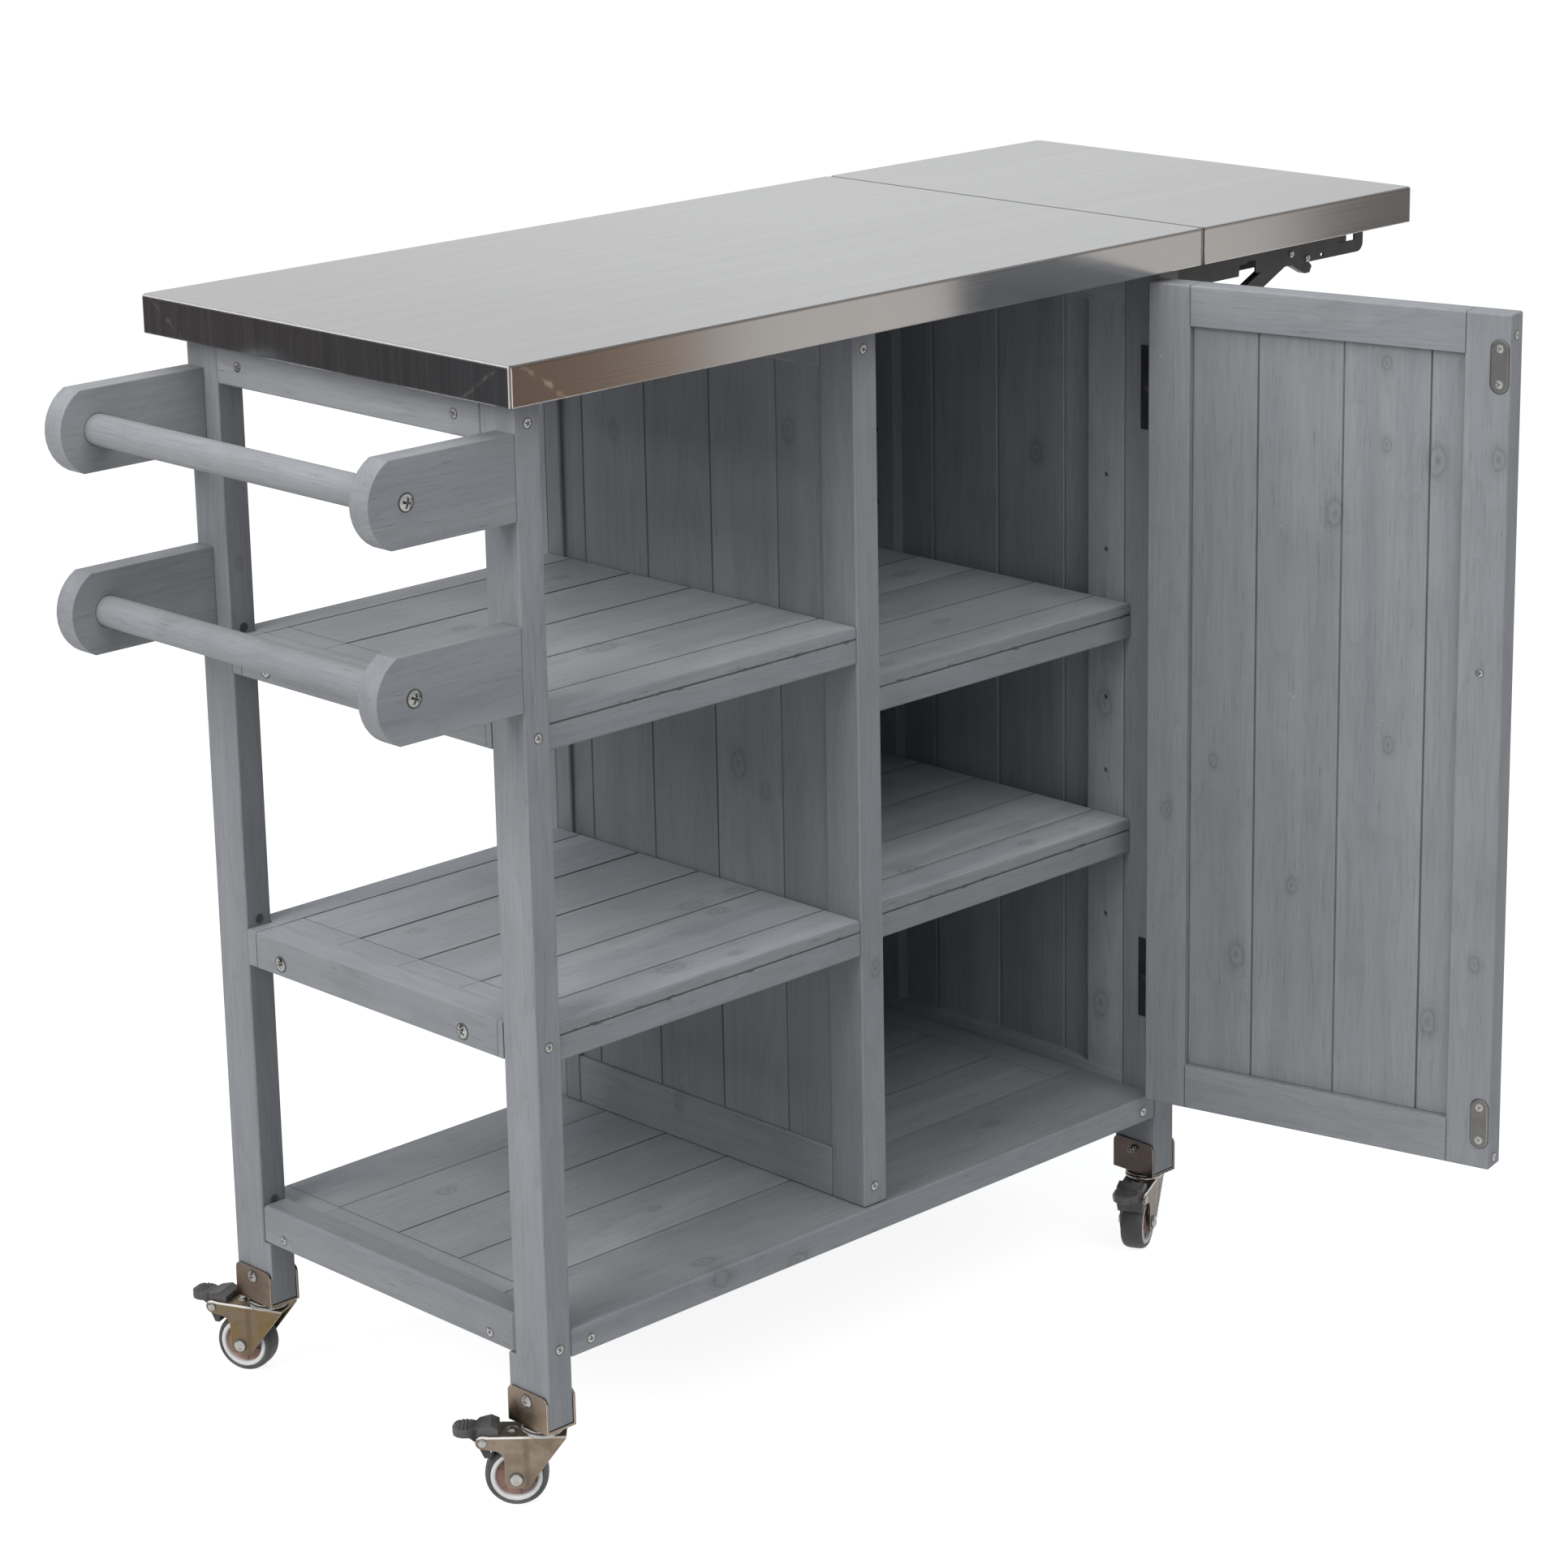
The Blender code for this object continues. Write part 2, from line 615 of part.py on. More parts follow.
def make_right_end_panel():
    """Rails that run from leg to leg, stiles between them and planks behind, glued up as one panel."""
    lap = 2 * ARRIS
    face_x = RIGHT_LEG_X + GAP
    stile_x = RIGHT_LEG_X + STILE_THICK
    back_x = stile_x + PANEL_PLANK
    front, back = END_SPAN[0] + GAP, END_SPAN[1] - GAP
    seams = even_seams(front, back, 4)[1:-1]
    outline = [(face_x, front), (face_x, front + STILE_WIDTH), (stile_x, front + STILE_WIDTH)]
    for seam in seams:
        outline += [(stile_x, seam - GROOVE), (stile_x + GROOVE, seam), (stile_x, seam + GROOVE)]
    outline += [(stile_x, back - STILE_WIDTH), (face_x, back - STILE_WIDTH), (face_x, back), (back_x, back)]
    for seam in reversed(seams):
        outline += [(back_x, seam + GROOVE), (back_x - GROOVE, seam), (back_x, seam - GROOVE)]
    outline += [(back_x, front)]
    apron_bottom = TOP_UNDERSIDE - APRON_HEIGHT
    panel = prism(outline, END_RAIL_TOP - lap, apron_bottom + lap, "XY")
    rail_x = (RIGHT_LEG_X, BODY_LENGTH)
    bottom_rail = board(rail_x, END_SPAN, (END_RAIL_BOTTOM, END_RAIL_TOP), 0)
    top_rail = board(rail_x, END_SPAN, (apron_bottom, TOP_UNDERSIDE - GAP), 0)
    united(panel, bottom_rail, top_rail)
    tools = []
    for index in range(PIN_HOLE_COUNT):
        height = PIN_HOLE_FIRST + index * PIN_HOLE_PITCH
        for along in (front + STILE_WIDTH / 2, back - STILE_WIDTH / 2):
            tool = turned([(0, -PIN_HOLE_DEPTH), (PIN_HOLE_RADIUS, -PIN_HOLE_DEPTH),
                           (PIN_HOLE_RADIUS, PIN_HOLE_DEPTH), (0, PIN_HOLE_DEPTH)], PIN_HOLE_SEGMENTS)
            tools.append(laid(tool, "+X", (face_x, along, height)))
    finish(cut(panel, *tools), "right_end_panel", grey_wood())


def make_back_panel():
    x = (DIVIDER_X + LEG_DEPTH + GAP, RIGHT_LEG_X - GAP)
    start = BODY_DEPTH - APRON_THICK + GAP
    z = (BASE_TOP + GAP, TOP_UNDERSIDE - APRON_HEIGHT - GAP)
    panel = planking(even_seams(DIVIDER_X + GAP, x[1], 5), (start, start + PANEL_PLANK), z, "XY")
    finish(panel, "back_panel", grey_wood())


# Shelves
def shelf_body(x, seams, top, side_rails):
    """Grooved planks on a front and a back rail, with a groove where the front plank lies on its rail."""
    under = top - SHELF_DECK
    low = under - SHELF_RAIL_HEIGHT
    front, back = seams[0], seams[-1]
    outline = [(front, low + ARRIS), (front, under - GROOVE), (front + GROOVE, under)]
    outline += [(front, under + GROOVE), (front, top - ARRIS), (front + ARRIS, top)]
    for seam in seams[1:-1]:
        outline += [(seam - GROOVE, top), (seam, top - GROOVE), (seam + GROOVE, top)]
    outline += [(back - ARRIS, top), (back, top - ARRIS), (back, low), (back - SHELF_RAIL_DEPTH, low)]
    outline += [(back - SHELF_RAIL_DEPTH, under), (front + SHELF_RAIL_DEPTH, under)]
    outline += [(front + SHELF_RAIL_DEPTH, low), (front + ARRIS, low)]
    body = prism(outline, *x, "YZ")
    lap = 2 * ARRIS
    inner = (front + SHELF_RAIL_DEPTH - lap, back - SHELF_RAIL_DEPTH + lap)
    rail_z = (low + GAP, under + lap)
    if "left" in side_rails:
        united(body, board((x[0] + GAP, x[0] + SHELF_RAIL_DEPTH), inner, rail_z, 0))
    if "right" in side_rails:
        united(body, board((x[1] - SHELF_RAIL_DEPTH, x[1] - GAP), inner, rail_z, 0))
    return body


def make_left_shelf(name, top):
    x = (LEG_WIDTH + GAP, DIVIDER_X - 3 * GAP)
    y = (LEFT_SHELF_SETBACK, BODY_DEPTH - APRON_THICK - GAP)
    seams = [y[0], *even_seams(y[0] + SHELF_FRONT_BOARD, y[1] - SHELF_BACK_BOARD, 4), y[1]]
    body = shelf_body(x, seams, top, ("right",))
    batten_z = (top - SHELF_DECK - SHELF_RAIL_HEIGHT + GAP, top - GAP)
    finish(united(body, board((0, SHELF_END_BATTEN), END_SPAN, batten_z, 0)), name, grey_wood())


def make_right_shelf(name, top):
    x = (DIVIDER_RIGHT + GAP, RIGHT_LEG_X - GAP)
    y = (RIGHT_SHELF_SETBACK, DIVIDER_PLANKS_END - 2 * GAP)
    seams = [y[0], *even_seams(y[0] + SHELF_FRONT_BOARD, y[1], 4)]
    finish(shelf_body(x, seams, top, ("left", "right")), name, grey_wood())


def make_shelves():
    for level, top in zip(("lower", "upper"), LEFT_SHELF_TOPS):
        make_left_shelf("left_shelf_" + level, top)
    for level, top in zip(("lower", "upper"), RIGHT_SHELF_TOPS):
        make_right_shelf("right_shelf_" + level, top)


# Handles
def handle_arm(bottom, y, hole_from):
    """An arm whose free end is an arc that meets its straight edges at corners."""
    half = ARM_HEIGHT / 2
    radius = (half ** 2 + ARM_BULGE ** 2) / (2 * ARM_BULGE)
    centre = (-ARM_STRAIGHT - ARM_BULGE + radius, bottom + half)
    spread = math.degrees(math.asin(half / radius))
    outline = [(-GAP, bottom), (-GAP, bottom + ARM_HEIGHT)]
    outline += arc(centre, radius, 180 - spread, 180 + spread, 12)
    arm = prism(outline, *y)
    reach = ROD_HOLE_DEPTH + GAP
    tool = [(0, -reach), (ROD_RADIUS + GAP, -reach), (ROD_RADIUS + GAP, reach), (0, reach)]
    return cut(arm, laid(turned(tool), "+Y", (-ROD_DISTANCE, hole_from, bottom + half)))


def make_handles():
    front_y = (0.0, ARM_THICK)
    back_y = (BODY_DEPTH - ARM_THICK, BODY_DEPTH)
    for level, drop in zip(("lower", "upper"), ARM_DROPS):
        bottom = TOP_UNDERSIDE - drop
        finish(handle_arm(bottom, front_y, front_y[1]), "handle_arm_front_" + level, grey_wood())
        finish(handle_arm(bottom, back_y, back_y[0]), "handle_arm_back_" + level, grey_wood())
        start = front_y[1] - ROD_HOLE_DEPTH
        length = back_y[0] + ROD_HOLE_DEPTH - start
        rod = turned([(0, 0), (ROD_RADIUS, 0), (ROD_RADIUS, length), (0, length)])
        place = (-ROD_DISTANCE, start, bottom + ARM_HEIGHT / 2)
        finish(laid(rod, "+Y", place), "handle_rod_" + level, grey_wood(), smooth=True)


# Door
def opened(piece):
    """Swing a piece of the shut door to its rest position about the hinge axis."""
    axis = Matrix.Translation((HINGE_X, HINGE_AXIS_Y, 0))
    piece.data.transform(axis @ Matrix.Rotation(DOOR_OPEN_ANGLE, 4, "Z") @ axis.inverted())
    return piece


def door_x(low, high):
    """The span in x of the shut door between two distances from its hinge edge."""
    edge = HINGE_X - DOOR_EDGE_ALONG
    return edge - high, edge - low


def hinge_leaf(x, bottom, knuckle, bored):
    """One leaf of a butt hinge: a plate and the half of the barrel that belongs to it."""
    plate_y = (HINGE_AXIS_Y + KNUCKLE_RADIUS + GAP, HINGE_AXIS_Y + HINGE_LEAF_REACH)
    inset = GAP / 2
    leaf = board(x, plate_y, (bottom, bottom + HINGE_HEIGHT), 0)
    tongue = board((x[0] + inset, x[1] - inset), (HINGE_AXIS_Y, plate_y[0] + HINGE_LEAF), knuckle, 0)
    barrel = [(0, knuckle[0]), (KNUCKLE_RADIUS, knuckle[0]), (KNUCKLE_RADIUS, knuckle[1]), (0, knuckle[1])]
    barrel = laid(turned(barrel, SMALL_SEGMENTS), "+Z", (HINGE_X, HINGE_AXIS_Y, 0))
    leaf = united(leaf, tongue, barrel)
    if bored:
        bore = PIN_RADIUS + RUNNING_GAP
        low, high = knuckle[0] - HINGE_LEAF, knuckle[1] - HINGE_LEAF
        tool = turned([(0, low), (bore, low), (bore, high), (0, high)], SMALL_SEGMENTS)
        return cut(leaf, laid(tool, "+Z", (HINGE_X, HINGE_AXIS_Y, 0)))
    low, high = knuckle[1] - HINGE_LEAF, knuckle[1] + HINGE_HEIGHT / 2 - 3 * HINGE_LEAF
    pin = turned([(0, low), (PIN_RADIUS, low), (PIN_RADIUS, high), (0, high)], PIN_SEGMENTS)
    return united(leaf, laid(pin, "+Z", (HINGE_X, HINGE_AXIS_Y, 0)))


def make_door_hinges():
    axis = (HINGE_X, HINGE_AXIS_Y, 0)
    fixed_x = (RIGHT_LEG_X - GAP - HINGE_LEAF, RIGHT_LEG_X - GAP)
    door_edge = door_x(0, 0)[1]
    moving_x = (door_edge + GAP, door_edge + GAP + HINGE_LEAF)
    for level, bottom in zip(("lower", "upper"), HINGE_BOTTOMS):
        middle = bottom + HINGE_HEIGHT / 2
        fixed = hinge_leaf(fixed_x, bottom, (bottom, middle - GAP), False)
        moving = hinge_leaf(moving_x, bottom, (middle + GAP, bottom + HINGE_HEIGHT), True)
        finish(fixed, "door_hinge_" + level + "_frame_leaf", black_steel())
        finish(opened(moving), "door_hinge_" + level + "_door_leaf", black_steel(), axis)


def make_door():
    axis = (HINGE_X, HINGE_AXIS_Y, 0)
    y = (DOOR_FACE_Y, DOOR_FACE_Y + DOOR_THICK)
    z = (DOOR_BOTTOM, DOOR_TOP)
    frame = board(door_x(0, DOOR_WIDTH), y, z)
    window_x = door_x(DOOR_STILE, DOOR_WIDTH - DOOR_STILE)
    window_z = (DOOR_BOTTOM + DOOR_BOTTOM_RAIL, DOOR_TOP - DOOR_TOP_RAIL)
    cut(frame, board(window_x, (y[0] - DOOR_THICK, y[1] + DOOR_THICK), window_z, 0))
    finish(opened(frame), "door_frame", grey_wood(), axis)
    plank_y = (sum(y) / 2 - DOOR_PLANK / 2, sum(y) / 2 + DOOR_PLANK / 2)
    seams = plank_seams(DOOR_STILE + GAP, DOOR_WIDTH - DOOR_STILE - GAP, DOOR_FIRST_PLANK, DOOR_PLANK_WIDTH)
    seams = sorted(door_x(along, along)[0] for along in seams)
    planks = planking(seams, plank_y, (window_z[0] + GAP, window_z[1] - GAP), "XY")
    finish(opened(planks), "door_planks", grey_wood(), axis)
    knob_profile = [
        (0, GAP), (KNOB_RADIUS * 0.55, GAP), (KNOB_RADIUS * 0.45, KNOB_REACH * 0.4),
        (KNOB_RADIUS * 0.85, KNOB_REACH * 0.55), (KNOB_RADIUS, KNOB_REACH * 0.75),
        (KNOB_RADIUS * 0.8, KNOB_REACH * 0.95), (0, KNOB_REACH),
    ]
    knob_along = DOOR_WIDTH - KNOB_INSET
    knob_x = door_x(knob_along, knob_along)[0]
    knob = laid(turned(knob_profile, KNOB_SEGMENTS), "-Y", (knob_x, y[0], KNOB_HEIGHT))
    finish(opened(knob), "door_knob", zinc_steel(), axis, smooth=True)


def make_catches():
    """Magnetic catches on the divider post, where the shut door's strike plates meet them."""
    strike_along = DOOR_WIDTH - STRIKE_INSET
    strike_x = door_x(strike_along, strike_along)[0]
    x = (DIVIDER_RIGHT + GAP, strike_x + STRIKE_WIDTH / 2)
    start = DOOR_FACE_Y + DOOR_THICK + STRIKE_CLEARANCE
    y = (start, start + CATCH_DEPTH)
    for level, height in zip(("lower", "upper"), STRIKE_HEIGHTS):
        z = (height - CATCH_HEIGHT / 2, height + CATCH_HEIGHT / 2)
        finish(board(x, y, z), "magnetic_catch_" + level, black_plastic())


# Folding bracket
def channel(outline, inner, centre_y, width):
    """A folded channel: an outline's prism, hollowed by a second outline between its side plates."""
    half = width / 2
    body = prism(outline, centre_y - half, centre_y + half)
    return cut(body, prism(inner, centre_y - half + PLATE, centre_y + half - PLATE))


def rectangle(x, z):
    return [(x[0], z[0]), (x[1], z[0]), (x[1], z[1]), (x[0], z[1])]


def bracket_arm(centre_y):
    """The arm under the leaf: deep side plates with a stepped notch, a slot and a window at the tip."""
    top = TOP_UNDERSIDE - GAP
    low = ARM_BOTTOM_Z
    pivot_radius = LEAF_AXIS_Z - low
    outline = [(LEAF_AXIS_X - pivot_radius, top)]
    outline += arc((LEAF_AXIS_X, LEAF_AXIS_Z), pivot_radius, 180, 270, 6)
    notch_x = LEAF_AXIS_X + LEAF_AXIS_Z - STRUT_PIVOT_Z
    notch_z = LEAF_AXIS_Z + STRUT_PIVOT_X - LEAF_AXIS_X
    clear = PIVOT_RADIUS + NOTCH_CLEARANCE
    outline += [(notch_x - clear - NOTCH_CLEARANCE, low), (notch_x - clear, notch_z + clear)]
    roof = notch_z + clear + NOTCH_ROOF_STEP
    outline += [(notch_x + clear, notch_z + clear), (notch_x + clear + NOTCH_STEP, roof)]
    outline += [(notch_x + NOTCH_LENGTH, roof), (notch_x + NOTCH_LENGTH + NOTCH_SLANT, low)]
    outline += arc((ARM_TIP_X - ARM_TIP_RADIUS, low + ARM_TIP_RADIUS), ARM_TIP_RADIUS, 270, 360, 5)
    outline += [(ARM_TIP_X, top)]
    inner = rectangle((LEAF_AXIS_X - 2 * pivot_radius, ARM_TIP_X + PLATE), (low - PLATE, top - PLATE))
    arm = channel(outline, inner, centre_y, ARM_WIDTH)
    across = (centre_y - ARM_WIDTH, centre_y + ARM_WIDTH)
    eyelet_x = LEAF_AXIS_X + EYELET_REACH
    window_x = (ARM_TIP_X - WINDOW_INSET - WINDOW_LENGTH, ARM_TIP_X - WINDOW_INSET)
    slot_x = (STRUT_TIP_X + SLOT_START, ARM_TIP_X - SLOT_END)
    window = prism(rectangle(window_x, (low + WINDOW_RISE, top - 2 * PLATE)), *across)
    slot = prism(rectangle(slot_x, (top - SLOT_HEIGHT, top - 2 * PLATE)), *across)
    eyelet = prism(circle((eyelet_x, low + EYELET_RISE), EYELET_RADIUS, BOLT_SEGMENTS), *across)
    hinge = prism(circle((LEAF_AXIS_X, LEAF_AXIS_Z), PIVOT_RADIUS + GAP, SMALL_SEGMENTS), *across)
    return cut(arm, window, slot, eyelet, hinge)


def wall_bracket(centre_y):
    """The channel screwed to the leg, with ears round the leaf's pivot pin and the strut's pin."""
    back = BODY_LENGTH + GAP
    ear = BRACKET_EAR
    width = WALL_PLATE_WIDTH
    web = back + WALL_PLATE_WEB
    outline = [(back, WALL_PLATE_BOTTOM), (back + WALL_PLATE_LIP, WALL_PLATE_BOTTOM)]
    outline += arc((STRUT_PIVOT_X, STRUT_PIVOT_Z), ear, -60, 60, 5)
    outline += [(web, STRUT_PIVOT_Z + WALL_EAR_BLEND), (web, LEAF_AXIS_Z - WALL_EAR_BLEND)]
    outline += arc((LEAF_AXIS_X, LEAF_AXIS_Z), ear, -60, 90, 7)
    outline += [(back, WALL_PLATE_TOP)]
    inner = rectangle((back + PLATE, LEAF_AXIS_X + 2 * ear), (WALL_PLATE_BOTTOM - PLATE, TOP_HEIGHT))
    bracket = channel(outline, inner, centre_y, width)
    half = width / 2 - PLATE
    pins = []
    for x, z in ((LEAF_AXIS_X, LEAF_AXIS_Z), (STRUT_PIVOT_X, STRUT_PIVOT_Z)):
        pin = circle((x, z), PIVOT_RADIUS, SMALL_SEGMENTS)
        pins.append(prism(pin, centre_y - half - PLATE / 2, centre_y + half + PLATE / 2))
    for pin in pins:
        bracket = combine(bracket, pin, "UNION")
    return bracket


def strut(centre_y):
    """The stay: a channel with round ends, from the wall bracket's pin into the arm."""
    along = Vector((STRUT_TIP_X - STRUT_PIVOT_X, STRUT_TIP_Z - STRUT_PIVOT_Z))
    length = along.length
    outline = arc((0, 0), STRUT_HALF, 90, 270, 8) + arc((length, 0), STRUT_HALF, -90, 90, 8)
    inner = rectangle((-2 * STRUT_HALF, length + 2 * STRUT_HALF), (-2 * STRUT_HALF, STRUT_HALF - PLATE))
    bar = channel(outline, inner, centre_y, STRUT_WIDTH)
    bore = circle((0, 0), PIVOT_RADIUS + GAP, SMALL_SEGMENTS)
    bore = prism(bore, centre_y - STRUT_WIDTH, centre_y + STRUT_WIDTH)
    past = rectangle((TONGUE_START, length + 2 * STRUT_HALF), (-2 * STRUT_HALF, 2 * STRUT_HALF))
    side = prism(past, centre_y - SIDE_CLEARANCE, centre_y + STRUT_WIDTH)
    bar = cut(bar, bore, side)
    turn = Matrix.Rotation(-math.atan2(along.y, along.x), 4, "Y")
    bar.data.transform(Matrix.Translation((STRUT_PIVOT_X, 0, STRUT_PIVOT_Z)) @ turn)
    return bar


def lever_span(centre_y):
    """The lever's place across the arm, beside the stay's tongue."""
    return centre_y + SIDE_CLEARANCE, centre_y + ARM_WIDTH / 2 - PLATE - SIDE_CLEARANCE


def release_lever(centre_y):
    """The finger tab that hangs below the arm and lets the stay go."""
    x, z = LEVER_PIVOT_X, LEVER_PIVOT_Z
    nose = x + LEVER_TIP / 2
    outline = arc((x, z), LEVER_RADIUS, 20, 170, 6)
    outline += [(x - LEVER_BACK, z - LEVER_DROP / 8), (x - LEVER_BACK / 5, z - LEVER_DROP * 0.6)]
    outline += [(nose, z - LEVER_DROP), (x + LEVER_TIP * 0.85, z - LEVER_DROP)]
    outline += [(x + LEVER_TIP, z - LEVER_DROP * 0.65)]
    low, high = lever_span(centre_y)
    tab = prism(outline, low, high)
    floor = z - LEVER_DROP + 2 * PLATE
    hollow = [(x - LEVER_BACK - PLATE, z + LEVER_RADIUS), (x - LEVER_BACK * 0.7, z - LEVER_DROP / 8)]
    hollow += [(nose, floor), (x + LEVER_TIP * 0.75, floor), (x + 2 * LEVER_TIP, z + 2 * LEVER_RADIUS)]
    inner = prism(hollow, low + PLATE, high - PLATE)
    bore = prism(circle((x, z), PIN_RADIUS + GAP, SMALL_SEGMENTS), low - PLATE, high + PLATE)
    return cut(tab, inner, bore)


def arm_rivet(centre_y):
    """The lever's pin, riveted into one side of the arm."""
    low, high = lever_span(centre_y)
    length = high - low + SIDE_CLEARANCE + PLATE / 2
    pin = turned([(0, 0), (PIN_RADIUS, 0), (PIN_RADIUS, length), (0, length)], PIN_SEGMENTS)
    return laid(pin, "+Y", (LEVER_PIVOT_X, low, LEVER_PIVOT_Z))


def make_brackets():
    leaf_axis = (LEAF_AXIS_X, 0, LEAF_AXIS_Z)
    strut_axis = (STRUT_PIVOT_X, 0, STRUT_PIVOT_Z)
    lever_axis = (LEVER_PIVOT_X, 0, LEVER_PIVOT_Z)
    for side, y in zip(("front", "back"), (BRACKET_INSET, BODY_DEPTH - BRACKET_INSET)):
        arm = united(bracket_arm(y), arm_rivet(y))
        finish(arm, "leaf_bracket_arm_" + side, black_steel(), leaf_axis)
        finish(wall_bracket(y), "leaf_wall_bracket_" + side, black_steel())
        finish(strut(y), "leaf_strut_" + side, black_steel(), strut_axis)
        finish(release_lever(y), "leaf_release_lever_" + side, black_steel(), lever_axis)


# Casters
def caster_place(corner):
    """From caster coordinates, x along the trail and y across it, to the cart."""
    x, y = caster_centre(corner)
    return Matrix.Translation((x, y, 0)) @ Matrix.Rotation(math.radians(CASTER_HEADINGS[corner]), 4, "Z")


def put(piece, corner):
    piece.data.transform(caster_place(corner))
    return piece


def leg_bracket(corner):
    """The folded plate that wraps the foot of the leg, with the swivel's upper race and its pin."""
    x, y = LEG_CORNERS[corner]
    centre_x, centre_y = caster_centre(corner)
    top = LEG_BOTTOM - GAP
    bottom = top - CASTER_SHEET
    rise = bottom + CASTER_PLATE_RISE
    half = (LEG_DEPTH + FOOT_BLOCK) / 2
    corner_radius = CASTER_PLATE_CORNER
    outline = [(centre_y - half, bottom), (centre_y + half, bottom)]
    outline += arc((centre_y + half - corner_radius, rise - corner_radius), corner_radius, 0, 90, 5)
    outline += arc((centre_y - half + corner_radius, rise - corner_radius), corner_radius, 90, 180, 5)
    low_x = x - GAP - CASTER_SHEET
    high_x = x + LEG_WIDTH + GAP + CASTER_SHEET
    body = prism(outline, low_x, high_x, "YZ")
    inside = ((low_x + CASTER_SHEET, high_x - CASTER_SHEET), (centre_y - 2 * half, centre_y + 2 * half),
              (top, rise + CASTER_SHEET))
    cut(body, board(*inside, 0))
    neck = UPPER_RACE_RADIUS - UPPER_RACE_CUP
    low = FORK_TOP + RACE_RISE + RACE_CLEARANCE
    pin_end = FORK_TOP - SWIVEL_PIN_REACH
    race = turned([
        (0, bottom + CASTER_SHEET / 2), (neck, bottom + CASTER_SHEET / 2), (neck, bottom - UPPER_RACE_EDGE),
        (UPPER_RACE_RADIUS, low + UPPER_RACE_EDGE), (UPPER_RACE_RADIUS, low), (AXLE_RADIUS, low),
        (AXLE_RADIUS, pin_end), (0, pin_end)], RACE_SEGMENTS)
    body = combine(body, laid(race, "+Z", (centre_x, centre_y, 0)), "UNION")
    length = high_x - low_x
    left = corner.endswith("left")
    start = (low_x if left else high_x, centre_y, caster_bolt_height())
    bolt = through_bolt(BOLT_RADIUS, BOLT_HEAD, length, "+X" if left else "-X", start)
    return combine(body, bolt, "UNION")


def rivet(radius, head, height, steps, place):
    """A pin across the fork with a domed head outside each cheek."""
    half = FORK_HALF
    edge = height * 0.7
    profile = [(0, -half - height), (head, -half - edge), (head, -half + GAP), (radius, -half + GAP),
               (radius, half - GAP), (head, half - GAP), (head, half + edge), (0, half + height)]
    return laid(turned(profile, steps), "+Y", place)


def fork(corner):
    """The swivel fork: a pressed top, two tapered cheeks with pedal ears, and its lower race."""
    ear_x, ear_z = PEDAL_PIVOT
    foot_z = WHEEL_RADIUS - FORK_FOOT_DROP
    foot_back = TRAIL - FORK_FOOT_BACK
    foot_front = TRAIL + FORK_FOOT_FRONT
    neck = (foot_front + FORK_FOOT_RADIUS + FORK_NECK_RADIUS, FORK_TOP - FORK_NECK_DROP)
    outline = [(-FORK_BACK, FORK_TOP), (-FORK_BACK, FORK_TOP - FORK_SHEET)]
    outline += arc((foot_back, foot_z), FORK_FOOT_RADIUS, 200, 270, 4)
    outline += arc((foot_front, foot_z), FORK_FOOT_RADIUS, 270, 360, 5)
    outline += arc(neck, FORK_NECK_RADIUS, 180, 112, 5)
    outline += arc((ear_x, ear_z), FORK_EAR, -100, 90, 7)
    outline += [(ear_x - FORK_EAR_SLOPE, FORK_TOP)]
    body = prism(outline, -FORK_HALF, FORK_HALF)
    inner = FORK_HALF - FORK_SHEET
    floor = FORK_TOP - FORK_SHEET
    hollow = prism(rectangle((-ear_x, NOTCH_START), (0, floor)), -inner, inner)
    notch = prism(rectangle((NOTCH_START, 2 * ear_x), (0, 2 * FORK_TOP)), -inner, inner)
    cut(body, hollow, notch)
    bore = AXLE_RADIUS + GAP
    top = FORK_TOP + RACE_RISE
    race = turned([(bore, floor), (RACE_FLOOR_RADIUS, floor + GAP), (RACE_RADIUS, top - RACE_RIM),
                   (RACE_RADIUS, top), (bore, top)], RACE_SEGMENTS)
    body = combine(body, race, "UNION")
    drill = [(0, FORK_TOP / 2), (bore, FORK_TOP / 2), (bore, 2 * FORK_TOP), (0, 2 * FORK_TOP)]
    body = cut(body, turned(drill, RACE_SEGMENTS))
    axle = rivet(AXLE_RADIUS, AXLE_HEAD, AXLE_HEAD_HEIGHT, BOLT_SEGMENTS, (TRAIL, 0, WHEEL_RADIUS))
    pin = rivet(PIN_RADIUS, PEDAL_PIN_HEAD, PEDAL_PIN_HEAD_HEIGHT, PIN_SEGMENTS, (ear_x, 0, ear_z))
    return put(united(body, axle, pin), corner)


def pedal_side(x, z):
    """The pedal seen from the side: a raised block, a grooved pad and the cam under the pivot."""
    top = z + PEDAL_PAD_TOP
    under = z + PEDAL_PAD_UNDER
    tip = x + PEDAL_REACH
    back = x - PEDAL_BLOCK_BACK
    outline = [(back, z + PEDAL_BLOCK_LOW), (back, top), ((back + x) / 2, z + PEDAL_BLOCK_TOP)]
    outline += [(x + PEDAL_WAIST_REACH, top)]
    for index in range(PEDAL_GROOVES):
        start = x + PEDAL_GROOVE_START + index * PEDAL_GROOVE_PITCH
        outline += [(start, top), (start + PEDAL_GROOVE_WIDTH / 2, top - PEDAL_GROOVE_DEPTH)]
        outline += [(start + PEDAL_GROOVE_WIDTH, top)]
    outline += [(tip - 2 * ARRIS, top), (tip, top - ARRIS), (tip, under + ARRIS), (tip - ARRIS, under)]
    outline += [(x + PEDAL_PAD_RADIUS, under), (x + PEDAL_BLOCK_REACH, z - PEDAL_BLOCK_LOW)]
    cam = z - CAM_DROP
    outline += [(x - ARRIS, cam), (x - ARRIS - CAM_WIDTH, cam), (x - PEDAL_WAIST, z + PEDAL_PAD_UNDER)]
    return outline


